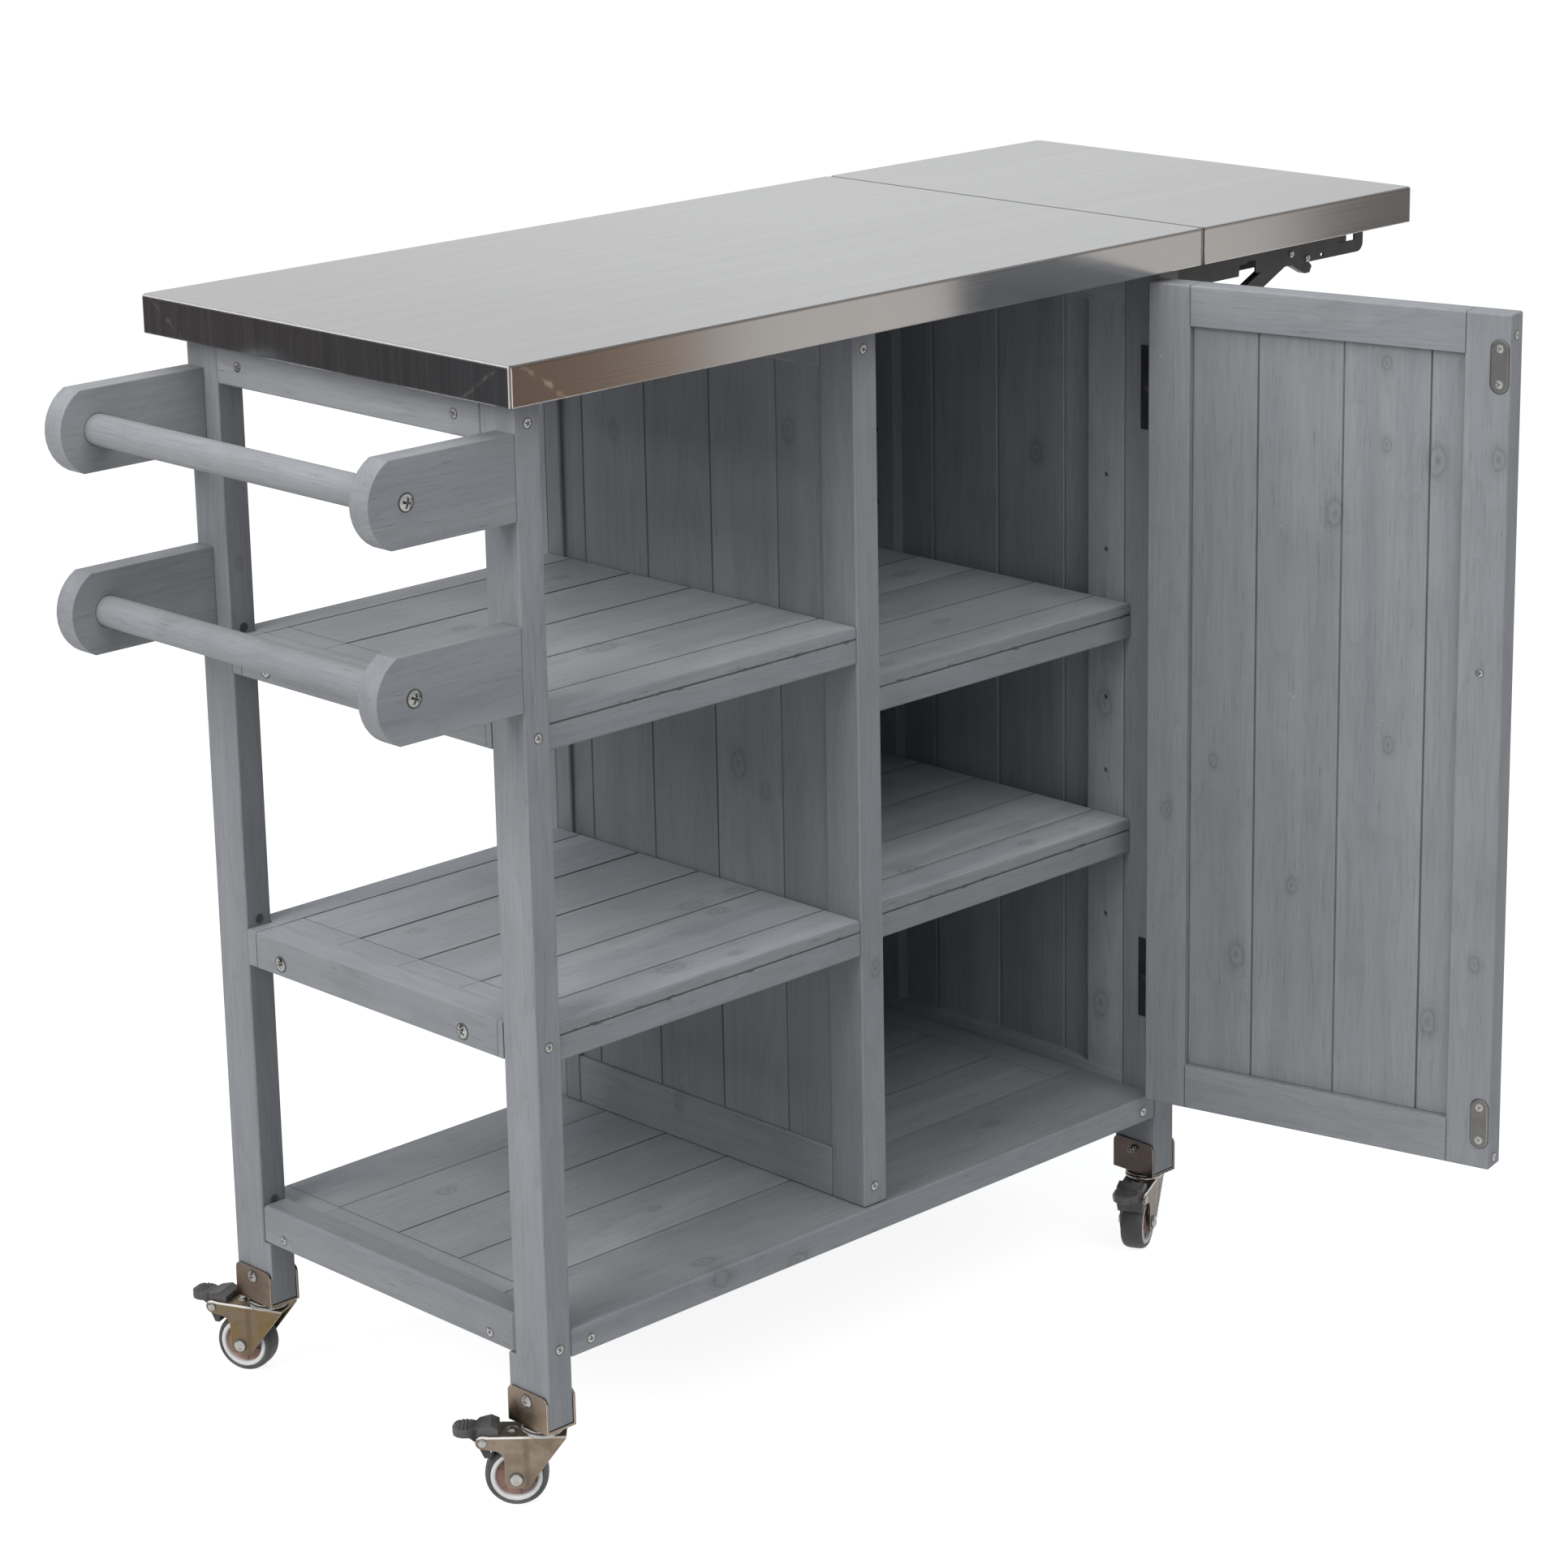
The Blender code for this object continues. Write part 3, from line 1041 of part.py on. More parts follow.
def pedal_plan(x, half):
    """The pedal seen from above: the block between the fork's ears, a waist and a round pad."""
    back = x - PEDAL_BLOCK_BACK
    block = x + PEDAL_BLOCK_REACH
    waist = x + PEDAL_WAIST_REACH
    outline = [(back, -half), (block, -half), (waist, -PEDAL_WAIST)]
    outline += arc((x + PEDAL_REACH - PEDAL_PAD_RADIUS, 0), PEDAL_PAD_RADIUS, -125, 125, 10)
    return outline + [(waist, PEDAL_WAIST), (block, half), (back, half)]


def pedal(corner):
    """The brake pedal: its side outline met by its plan outline, and bored for its pin."""
    x, z = PEDAL_PIVOT
    inner = FORK_HALF - FORK_SHEET - GAP
    body = prism(pedal_side(x, z), -2 * inner, 2 * inner)
    body = combine(body, prism(pedal_plan(x, inner), 0, 2 * FORK_TOP, "XY"), "INTERSECT")
    bore = circle((x, z), PIN_RADIUS + RUNNING_GAP, SMALL_SEGMENTS)
    return put(cut(body, prism(bore, -2 * inner, 2 * inner)), corner)


def wheel(corner):
    """The hub with its sunk web, bored for the axle, and the tyre moulded round it."""
    half = WHEEL_WIDTH / 2
    web = -half + WHEEL_SINK
    shoulder = WHEEL_SHOULDER
    side = [(AXLE_RADIUS + RUNNING_GAP, -half), (WHEEL_BOSS, -half), (WHEEL_BOSS + GROOVE, web)]
    side += [(WHEEL_WEB, web), (WHEEL_WEB + GROOVE, -half + RUNNING_GAP), (HUB_RADIUS + GROOVE, -half)]
    side += [(WHEEL_RADIUS - shoulder + shoulder * math.sin(a), -half + shoulder - shoulder * math.cos(a))
             for a in (math.radians(23), math.radians(86))]
    profile = side + [(radius, -height) for radius, height in reversed(side)]
    return put(laid(turned(profile, WHEEL_SEGMENTS), "+Y", (TRAIL, 0, WHEEL_RADIUS)), corner)


def make_casters():
    for corner in LEG_CORNERS:
        place = caster_place(corner)
        swivel_axis = place @ Vector((0, 0, FORK_TOP))
        wheel_axis = place @ Vector((TRAIL, 0, WHEEL_RADIUS))
        pedal_axis = place @ Vector((PEDAL_PIVOT[0], 0, PEDAL_PIVOT[1]))
        finish(leg_bracket(corner), "caster_bracket_" + corner, zinc_steel())
        finish(fork(corner), "caster_fork_" + corner, zinc_steel(), swivel_axis)
        finish(wheel(corner), "caster_wheel_" + corner, tyre_rubber(), wheel_axis, smooth=True)
        finish(pedal(corner), "caster_pedal_" + corner, black_plastic(), pedal_axis)


def footprint_centre():
    """The middle of the whole cart's box on the floor."""
    bpy.context.view_layer.update()
    points = [piece.matrix_world @ vertex.co for piece in bpy.data.objects for vertex in piece.data.vertices]
    xs = [point.x for point in points]
    ys = [point.y for point in points]
    return Vector(((min(xs) + max(xs)) / 2, (min(ys) + max(ys)) / 2, 0))


make_worktop()
make_legs()
make_end_rails()
make_bottom_shelf()
make_divider()
make_right_end_panel()
make_back_panel()
make_shelves()
make_handles()
make_door()
make_door_hinges()
make_catches()
make_brackets()
make_casters()

ORIGIN = footprint_centre()
for piece in bpy.data.objects:
    piece.location -= ORIGIN
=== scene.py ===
"""Looks of the kitchen prep cart: grey stained pine, brushed steel, zinc casters."""

import math

import bmesh
import bpy
from mathutils import Matrix, Vector


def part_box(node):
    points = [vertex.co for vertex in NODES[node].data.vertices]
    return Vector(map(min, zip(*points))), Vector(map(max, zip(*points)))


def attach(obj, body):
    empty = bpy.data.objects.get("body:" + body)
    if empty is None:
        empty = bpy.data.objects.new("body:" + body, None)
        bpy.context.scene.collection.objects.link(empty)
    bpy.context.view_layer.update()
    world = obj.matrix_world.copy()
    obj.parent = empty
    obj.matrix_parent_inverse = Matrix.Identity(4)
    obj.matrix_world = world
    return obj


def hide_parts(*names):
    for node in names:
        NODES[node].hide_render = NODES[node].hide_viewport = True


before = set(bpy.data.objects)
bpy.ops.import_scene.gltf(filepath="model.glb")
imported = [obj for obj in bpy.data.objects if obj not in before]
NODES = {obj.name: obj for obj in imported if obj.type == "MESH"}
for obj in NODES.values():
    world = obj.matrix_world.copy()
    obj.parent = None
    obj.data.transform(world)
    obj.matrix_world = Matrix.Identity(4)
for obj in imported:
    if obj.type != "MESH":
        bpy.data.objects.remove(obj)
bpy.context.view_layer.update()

# Cart coordinates: metres from the front left leg's outer corner on the floor
ORIGIN = Vector((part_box("leg_front_left")[0].x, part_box("leg_front_left")[0].y, 0))
CART_LENGTH = 0.736
CART_DEPTH = 0.393
TOP_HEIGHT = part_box("worktop_steel")[1].z
TOP_END_OVERHANG = 0.023
TOP_SIDE_OVERHANG = 0.0245
SHELF_TOPS = {"left_lower": 0.397, "left_upper": 0.6425, "right_lower": 0.3935, "right_upper": 0.587}
LEG_MIDDLE = 0.013
LEG_SCREW_HEIGHTS = (0.8634, 0.6253, 0.3821, 0.1344)
LEG_SOCKET_HEIGHTS = (0.158, 0.4025, 0.647)
POST_MIDDLE = 0.3625
BASE_BOARD_SCREWS = ((0.0455, 0.1337), (0.6955, 0.1337))
HANDLE_BOLT_HEIGHTS = (0.825, 0.6805)
BRACKET_RIVETS = ((0.896, 0.867), (0.918, 0.8605))

# Door, with x from its hinge edge and y from its outer face
HINGE = Vector((0.7092, -0.0035, 0))
DOOR_ANGLE = math.radians(103)
DOOR_EDGE = 0.0018
DOOR_WIDTH = 0.3235
DOOR_INNER = 0.0225
STRIKE_PLATE_X = DOOR_WIDTH - 0.0095
STRIKE_PLATE_HEIGHTS = (0.1914, 0.8325)
KNOB_X = 0.3036
KNOB_HEIGHT = 0.579
HINGE_SCREW_HEIGHTS = (0.252, 0.778)

# Casters, with x along the trail from the swivel's axis; headings in degrees
CORNERS = ("front_left", "back_left", "front_right", "back_right")
HEADINGS = {"front_left": 136, "back_left": 114, "front_right": 206, "back_right": 150}
WHEEL = Vector((0.021, 0, 0.025))
WHEEL_HALF_WIDTH = 0.0098
PEDAL = Vector((0.0464, 0, 0.0562))
FORK_CHEEK = 0.0141
FORK_TOP = 0.061
BRACKET_WALL = 0.0023

# Screw heads: radius, height and, on the casters, the depth of the cross as a share of the height
SHELF_SCREW = (0.0058, 0.0022)
HANDLE_BOLT = (0.0062, 0.0026)
HINGE_SCREW = (0.0027, 0.0003)
PLATE_SCREW = (0.0032, 0.0011)
KNOB_SCREW = (0.0030, 0.0012)
DOOR_EDGE_SCREW = (0.0034, 0.0011)
CASTER_BOLT = (0.0050, 0.0034, 0.24)

CART = Matrix.Translation(ORIGIN)
DOOR = (Matrix.Translation(ORIGIN + HINGE) @ Matrix.Rotation(DOOR_ANGLE, 4, "Z")
        @ Matrix.Diagonal((-1, 1, 1, 1)) @ Matrix.Translation((DOOR_EDGE, -HINGE.y, 0)))

# Camera: degrees of yaw from +y towards +x, of pitch and of roll
CAMERA_PLACE = Vector((-1.9413, -2.2826, 1.5077))
CAMERA_TURNS = (44.054, -15.372, -1.076)
CAMERA_LENS = 97.10
CAMERA_SHIFT = -0.08

# Light
LAMP_COLOUR = (1.0, 0.98, 0.948)
AMBIENT_COLOUR = (0.91, 0.985, 1.085, 1)
AMBIENT_STRENGTH = 0.54
FLOOR_SIZE = 14
FLOOR_GLOW = 0.885


def cart_point(x, y, z):
    return CART @ Vector((x, y, z))


def caster_frame(corner):
    """Caster coordinates, x along the trail and y across it, to the row frame."""
    low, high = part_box("caster_wheel_" + corner)
    middle = (low + high) / 2
    turn = Matrix.Rotation(math.radians(HEADINGS[corner]), 4, "Z")
    middle = middle - turn @ Vector((WHEEL.x, 0, 0))
    return Matrix.Translation((middle.x, middle.y, 0)) @ turn


# Camera
def make_camera():
    yaw, pitch, roll = (math.radians(turn) for turn in CAMERA_TURNS)
    place = ORIGIN + CAMERA_PLACE
    forward = Vector((math.sin(yaw) * math.cos(pitch), math.cos(yaw) * math.cos(pitch), math.sin(pitch)))
    level = Vector((math.cos(yaw), -math.sin(yaw), 0))
    upright = level.cross(forward)
    right = math.cos(roll) * level + math.sin(roll) * upright
    up = -math.sin(roll) * level + math.cos(roll) * upright
    data = bpy.data.cameras.new("photo_camera")
    data.lens = CAMERA_LENS
    data.sensor_width = 36
    data.shift_y = CAMERA_SHIFT
    camera = bpy.data.objects.new("photo_camera", data)
    camera.matrix_world = Matrix((
        (right.x, up.x, -forward.x, place.x),
        (right.y, up.y, -forward.y, place.y),
        (right.z, up.z, -forward.z, place.z),
        (0, 0, 0, 1)))
    bpy.context.scene.collection.objects.link(camera)
    bpy.context.scene.camera = camera


# Node helpers
class Nodes:
    """Short ways to add and link the nodes of one material."""

    def __init__(self, name):
        self.material = bpy.data.materials.new(name)
        self.material.use_nodes = True
        self.tree = self.material.node_tree
        self.shader = self.tree.nodes["Principled BSDF"]
        self.object = self.add("ShaderNodeTexCoord").outputs["Object"]

    def add(self, kind, **settings):
        node = self.tree.nodes.new(kind)
        for key, value in settings.items():
            setattr(node, key, value)
        return node

    def put(self, socket, value):
        if isinstance(value, bpy.types.NodeSocket):
            self.tree.links.new(value, socket)
        else:
            socket.default_value = value

    def math(self, operation, first, second=0.0, third=0.0):
        node = self.add("ShaderNodeMath", operation=operation)
        self.put(node.inputs[0], first)
        self.put(node.inputs[1], second)
        if operation == "MULTIPLY_ADD":
            self.put(node.inputs[2], third)
        return node.outputs[0]

    def vector(self, operation, first, second=(0, 0, 0)):
        node = self.add("ShaderNodeVectorMath", operation=operation)
        self.put(node.inputs[0], first)
        self.put(node.inputs[1], second)
        return node.outputs["Value" if operation == "LENGTH" else "Vector"]

    def split(self, value):
        node = self.add("ShaderNodeSeparateXYZ")
        self.put(node.inputs[0], value)
        return node.outputs

    def join(self, x, y, z):
        node = self.add("ShaderNodeCombineXYZ")
        for socket, value in zip(node.inputs, (x, y, z)):
            self.put(socket, value)
        return node.outputs[0]

    def noise(self, vector, scale, detail=2.0, roughness=0.5):
        node = self.add("ShaderNodeTexNoise")
        self.put(node.inputs["Vector"], vector)
        for key, value in (("Scale", scale), ("Detail", detail), ("Roughness", roughness)):
            node.inputs[key].default_value = value
        return node.outputs["Fac"]

    def remap(self, value, low, high, start=0.0, end=1.0, smooth=False):
        node = self.add("ShaderNodeMapRange", interpolation_type="SMOOTHSTEP" if smooth else "LINEAR")
        for socket, item in zip(node.inputs, (value, low, high, start, end)):
            self.put(socket, item)
        return node.outputs[0]

    def mix(self, factor, first, second, blend="MIX"):
        node = self.add("ShaderNodeMix", data_type="RGBA", blend_type=blend)
        self.put(node.inputs[0], factor)
        self.put(node.inputs[6], first)
        self.put(node.inputs[7], second)
        return node.outputs[2]

    def between(self, factor, first, second):
        """A mix of two vectors."""
        node = self.add("ShaderNodeMix", data_type="VECTOR")
        self.put(node.inputs[0], factor)
        self.put(node.inputs[4], first)
        self.put(node.inputs[5], second)
        return node.outputs[1]

    def ramp(self, value, stops, smooth=True):
        node = self.add("ShaderNodeValToRGB")
        node.color_ramp.interpolation = "EASE" if smooth else "LINEAR"
        elements = node.color_ramp.elements
        while len(elements) < len(stops):
            elements.new(0.5)
        for element, (place, colour) in zip(elements, stops):
            element.position = place
            element.color = grey(colour) if isinstance(colour, float) else colour
        self.put(node.inputs[0], value)
        return node.outputs[0]

    def bump(self, height, strength, distance, normal):
        node = self.add("ShaderNodeBump")
        node.inputs["Strength"].default_value = strength
        node.inputs["Distance"].default_value = distance
        self.put(node.inputs["Height"], height)
        self.put(node.inputs["Normal"], normal)
        return node.outputs[0]

    def convex_edges(self, radius):
        """1 along convex edges and 0 on the flats, and the softened normal."""
        bevel = self.add("ShaderNodeBevel", samples=4)
        bevel.inputs["Radius"].default_value = radius
        flat = self.add("ShaderNodeNewGeometry").outputs["Normal"]
        node = self.add("ShaderNodeVectorMath", operation="DOT_PRODUCT")
        self.put(node.inputs[0], bevel.outputs[0])
        self.put(node.inputs[1], flat)
        return self.remap(node.outputs["Value"], 0.995, 0.80), bevel.outputs[0]

    def surface(self, shader):
        """Finish the material with this shader alone."""
        self.put(self.tree.nodes["Material Output"].inputs["Surface"], shader)
        self.tree.nodes.remove(self.shader)

    def close(self, **sockets):
        """The finished material, from its values by name with _ for a space."""
        for key, value in sockets.items():
            self.put(self.shader.inputs[key.replace("_", " ")], value)
        return self.material


# Colours
def grey(value):
    return (value, value, value, 1)


def srgb(red, green, blue):
    """A colour written as it shows on screen, 0 to 255, as linear light."""
    linear = [((c / 255 + 0.055) / 1.055) ** 2.4 if c > 10 else c / 255 / 12.92 for c in (red, green, blue)]
    return (*linear, 1)


def scaled(colour, factor):
    return (colour[0] * factor, colour[1] * factor, colour[2] * factor, 1)


def lifted(colour, amount):
    return (colour[0] + amount, colour[1] + amount, colour[2] + amount, 1)


# Stained pine
STAIN = srgb(121, 123, 126)
STAIN_DARK = srgb(110, 112, 116)
STAIN_WEAR_AND_HIGHLIGHT = srgb(154, 156, 158)
STAIN_SPECK = srgb(164, 166, 167)
SEAM_DARK = srgb(30, 32, 35)
FIBRE_ORDER = {"X": "xyz", "Y": "yxz", "Z": "zxy"}
KNOT_SHADES = ((0.0, 0.66), (0.10, 0.80), (0.24, 0.93), (0.34, 0.86), (0.41, 0.72), (0.47, 0.84),
               (0.66, 0.95), (1.0, 1.0))


def either(n, mask, other):
    """The larger of two masks, where the first may be missing."""
    return other if mask is None else n.math("MAXIMUM", mask, other)


def distance_from(n, axis, value):
    return n.math("ABSOLUTE", n.math("SUBTRACT", axis, value))


def stretched(n, vector, along, across):
    """Coordinates for streaks: the first axis is the long one."""
    return n.vector("MULTIPLY", vector, (along, across, across))


def inside_of(n, axes, spans):
    """1 where every (axis, low, high) holds."""
    inside = None
    for axis, low, high in spans:
        above = n.math("GREATER_THAN", axes[axis], low)
        held = n.math("MULTIPLY", above, n.math("LESS_THAN", axes[axis], high))
        inside = held if inside is None else n.math("MULTIPLY", inside, held)
    return inside


def knot_reach(n, axes, grain, across, knots):
    """The distance to the nearest knot in radii, or None. Knots are longer along the fibres."""
    plane = [axis for axis in "xyz" if axis in (grain.lower(), across)]
    reach = None
    for *centre, radius in knots:
        parts = []
        for axis, value in zip(plane if len(centre) == 2 else "xyz", centre):
            share = (0.85 if axis == grain.lower() else 1.35) / radius
            parts.append(n.math("MULTIPLY", n.math("SUBTRACT", axes[axis], value), share))
        distance = n.vector("LENGTH", n.join(*parts, *[0.0] * (3 - len(parts))))
        reach = distance if reach is None else n.math("MINIMUM", reach, distance)
    return reach


def plank_layout(n, axes, grain, across, seams, cross, joints, shift):
    """Coordinates along the fibres, a number for each plank, and the mask of the gaps between them."""
    along = n.join(*(axes[a] for a in FIBRE_ORDER[grain]))
    plank, lines, crossed = shift, None, None
    for seam in seams:
        plank = n.math("ADD", plank, n.math("GREATER_THAN", axes[across], seam))
        depth = 0.60 + 0.38 * ((seam * 137 + shift * 3) % 1)
        lines = either(n, lines, n.remap(distance_from(n, axes[across], seam), 0.0005, 0.0013, depth, 0.0))
    for other, *spans in cross:
        inside = inside_of(n, axes, spans)
        along = n.between(inside, along, n.join(*(axes[a] for a in FIBRE_ORDER[other])))
        crossed = either(n, crossed, inside)
    if crossed is not None:
        outside = n.math("SUBTRACT", 1.0, crossed)
        plank = n.math("MULTIPLY_ADD", plank, outside, n.math("MULTIPLY", crossed, shift + 0.37))
        if lines is not None:
            lines = n.math("MULTIPLY", lines, outside)
    for axis, value, *spans in joints:
        near = n.remap(distance_from(n, axes[axis], value), 0.0002, 0.0008, 0.85, 0.0)
        lines = either(n, lines, n.math("MULTIPLY", near, inside_of(n, axes, spans)))
    return along, plank, lines


def pine_grain(n, local, fibre, reach, random, tone):
    """The stain over rings, pores and knots, the height of the grain, and its broad bands."""
    # growth rings sway along the fibres and bend round the knots
    sway = n.noise(stretched(n, fibre, 2.0, 17.0), 1.0, 2.0, 0.5)
    if reach is not None:
        sway = n.math("ADD", sway, n.remap(reach, 0.0, 3.6, 0.34, 0.0, smooth=True))
    rings = n.math("FRACT", n.math("MULTIPLY", sway, 15.0))
    rings = n.ramp(rings, ((0.0, 1.0), (0.5, 0.99), (0.82, 0.955), (0.94, 0.91), (1.0, 1.0)))
    strokes = n.noise(stretched(n, fibre, 20.0, 430.0), 1.0, 4.0, 0.62)
    dashes = n.noise(stretched(n, fibre, 42.0, 800.0), 1.0, 2.0, 0.5)
    broad = n.noise(stretched(n, fibre, 1.8, 36.0), 1.0, 3.0, 0.6)
    cloud = n.noise(local, 11.0, 4.0, 0.6)
    stroke_shades = n.ramp(strokes, ((0.28, 0.86), (0.42, 0.96), (0.55, 1.0), (0.75, 1.05)))
    cloud_shades = n.ramp(cloud, ((0.28, 0.92), (0.52, 1.0), (0.75, 1.05)))
    # painted light: the tone factor scales the stain paler or darker on some pieces
    colour = n.mix(n.remap(broad, 0.28, 0.70), scaled(STAIN_DARK, tone), scaled(STAIN, tone))
    colour = n.mix(0.8, colour, rings, "MULTIPLY")
    colour = n.mix(1.0, colour, stroke_shades, "MULTIPLY")
    colour = n.mix(1.0, colour, cloud_shades, "MULTIPLY")
    plank_shade = n.vector("SCALE", colour)
    n.put(plank_shade.node.inputs["Scale"], n.remap(random.outputs["Value"], 0.0, 1.0, 0.93, 1.07))
    dash = n.remap(dashes, 0.64, 0.76)
    colour = n.mix(n.math("MULTIPLY", dash, 0.30), plank_shade, SEAM_DARK)
    speck = n.remap(n.noise(local, 210.0, 1.0), 0.80, 0.82)
    colour = n.mix(n.math("MULTIPLY", speck, 0.30), colour, STAIN_SPECK)
    if reach is not None:
        wobble = n.math("SUBTRACT", n.noise(local, 110.0, 3.0), 0.5)
        ragged = n.math("MULTIPLY_ADD", wobble, 0.8, reach)
        knot = n.ramp(n.math("MULTIPLY", ragged, 0.42), KNOT_SHADES)
        colour = n.mix(1.0, colour, knot, "MULTIPLY")
    height = n.math("MULTIPLY_ADD", strokes, 0.7, n.math("MULTIPLY", dash, -0.5))
    return colour, height, broad


def chipped_joint(n, axes, local, colour, height, depth):
    """A dark line with torn chips where a deck meets its front board."""
    off = distance_from(n, axes["z"], height)
    torn = n.noise(n.vector("MULTIPLY", local, (75.0, 75.0, 210.0)), 1.0, 3.0, 0.65)
    line = n.remap(off, 0.0004, 0.0010, 0.8, 0.0)
    torn = n.math("MULTIPLY", n.remap(torn, 0.57, 0.63), n.remap(off, 0.0012, 0.0026, 0.75, 0.0))
    front = inside_of(n, axes, (("y", -1.0, depth + 0.001), ("x", 0.026, 1.0)))
    return n.mix(n.math("MULTIPLY", n.math("MAXIMUM", line, torn), front), colour, SEAM_DARK)


def wood(name, grain="Z", seams=(), across="y", cross=(), joints=(), knots=(), on_door=False,
         tone=1.0, shift=0.0, chips=None, deck=1.0, gap=0.85):
    """Grey stained pine. grain is the axis that the fibres follow and seams are the gaps between planks.
    cross gives (other grain, spans) where boards run the other way, and joints the (axis, value, spans)
    of the lines where they meet. knots are (first, second, radius) in the plane of the face or
    (x, y, z, radius), chips is the (height, depth) of a chipped joint along the front, and the upper-face
    factor how much paler the upper faces are painted, as painted light. The tone factor scales the whole
    stain paler or darker as painted light. gap is how dark the seams are."""
    n = Nodes("wood_" + name)
    local = door_coordinates(n) if on_door else n.vector("SUBTRACT", n.object, tuple(ORIGIN))
    axes = dict(zip("xyz", n.split(local)))
    along, plank, lines = plank_layout(n, axes, grain, across, seams, cross, joints, shift)
    random = n.add("ShaderNodeTexWhiteNoise", noise_dimensions="1D")
    n.put(random.inputs["W"], plank)
    fibre = n.vector("ADD", along, n.vector("MULTIPLY", random.outputs["Color"], (0.9, 0.7, 0.8)))
    reach = knot_reach(n, axes, grain, across, knots)
    colour, height, broad = pine_grain(n, local, fibre, reach, random, tone)
    if chips is not None:
        colour = chipped_joint(n, axes, local, colour, *chips)
    # painted light: upward faces are painted paler by the upper-face factor
    if deck != 1.0:
        upward = n.split(n.add("ShaderNodeNewGeometry").outputs["Normal"])[2]
        colour = n.mix(n.remap(upward, 0.7, 0.95), colour, n.mix(1.0, colour, grey(deck), "MULTIPLY"))
    if lines is not None:
        colour = n.mix(n.math("MULTIPLY", lines, gap), colour, SEAM_DARK)
    # paler, patchy arrises: partly wear, partly a painted highlight
    edge, soft = n.convex_edges(0.0012)
    patchy = n.math("MULTIPLY", edge, n.remap(n.noise(local, 26.0, 4.0), 0.32, 0.60, 0.25, 1.0))
    colour = n.mix(n.math("MULTIPLY", patchy, 0.45), colour, STAIN_WEAR_AND_HIGHLIGHT)
    return n.close(Base_Color=colour, Roughness=n.remap(broad, 0.2, 0.8, 0.54, 0.68),
                   Specular_IOR_Level=0.30, Normal=n.bump(height, 0.45, 0.0006, soft))


def door_coordinates(n):
    """x from the hinge edge, y from the outer face and z up, on the open door."""
    node = n.add("ShaderNodeMapping", vector_type="TEXTURE")
    n.put(node.inputs["Vector"], n.object)
    node.inputs["Location"].default_value = ORIGIN + HINGE
    node.inputs["Rotation"].default_value = (0, 0, DOOR_ANGLE)
    turned = n.vector("MULTIPLY", node.outputs[0], (-1, 1, 1))
    return n.vector("ADD", turned, (-DOOR_EDGE, HINGE.y, 0))


def dress(name, material):
    """Give a CAD node its surface."""
    node = NODES[name]
    node.data.materials.clear()
    node.data.materials.append(material)


def stain(name, *settings, **more):
    dress(name, wood(name, *settings, **more))


# Surfaces of the wooden nodes
def dress_wood():
    dress_carcass()
    dress_panels()
    dress_shelves()
    dress_door()
    for level, shift in (("lower", 81.0), ("upper", 87.0)):
        stain("handle_rod_" + level, "Y", across="x", shift=shift)
        for side in ("front", "back"):
            stain("handle_arm_" + side + "_" + level, "X", across="z", shift=shift + len(side) * 1.7)


def dress_carcass():
    marks = {"back_left": ((0.012, 0.70, 0.004),), "back_right": ((0.742, 0.62, 0.005),)}
    for corner in CORNERS:
        stain("leg_" + corner, "Z", across="x", knots=marks.get(corner, ()), shift=CORNERS.index(corner))
    stain("apron_left", "Y", across="x", shift=3.3)
    stain("apron_back", "X", shift=5.1)
    stain("base_end_rail_left", "Y", across="x", shift=7.7)
    # painted light: the base's front board is painted a little paler
    stain("base_front_board", "X", shift=9.2, tone=1.03,
          knots=((0.185, 0.004, 0.139, 0.010), (0.270, 0.0, 0.128, 0.008),
                 (0.185, 0.021, 0.147, 0.008), (0.560, 0.055, 0.147, 0.006)))
    # painted light: the base planks' upper faces are painted paler
    stain("base_planks", "X", (0.1691, 0.2460, 0.3230), shift=2.4, deck=1.28,
          knots=((0.232, 0.130, 0.005), (0.445, 0.205, 0.008), (0.140, 0.285, 0.007)),
          cross=(("Y", ("x", -1, 0.0553)), ("Y", ("x", 0.6805, 2))),
          joints=(("x", 0.0553, ("z", 0.1, 1)), ("x", 0.6805, ("z", 0.1, 1))))


def dress_panels():
    stain("divider_post", "Z", across="x", shift=12.0, knots=((0.367, 0.352, 0.006),))
    low, high, rail_end = ("z", -1, 0.1905), ("z", 0.846, 2), 0.354
    # painted light: the divider panel is painted a little darker, and the right end and back panels paler
    stain("divider_panel", "Z", (0.0953, 0.1733, 0.2513, 0.3293), shift=14.0, tone=0.93,
          cross=(("Y", low, ("y", -1, rail_end)), ("Y", high, ("y", -1, rail_end))),
          joints=(("y", rail_end, low), ("y", rail_end, high)),
          knots=((0.147, 0.499, 0.010), (0.115, 0.4815, 0.006), (0.081, 0.790, 0.008),
                 (0.226, 0.182, 0.006), (0.290, 0.760, 0.006)))
    stain("right_end_panel", "Z", (0.0793, 0.1165, 0.1945, 0.2725, 0.3133), shift=16.0, tone=1.45, gap=0.3,
          knots=((0.060, 0.492, 0.010), (0.064, 0.215, 0.010), (0.150, 0.70, 0.008)),
          cross=(("Y", ("z", -1, 0.1565)), ("Y", high)))
    stain("back_panel", "Z", (0.4234, 0.4953, 0.5672, 0.6391), "x", shift=18.0, tone=1.25,
          knots=((0.450, 0.70, 0.007), (0.600, 0.33, 0.008), (0.530, 0.52, 0.006)))


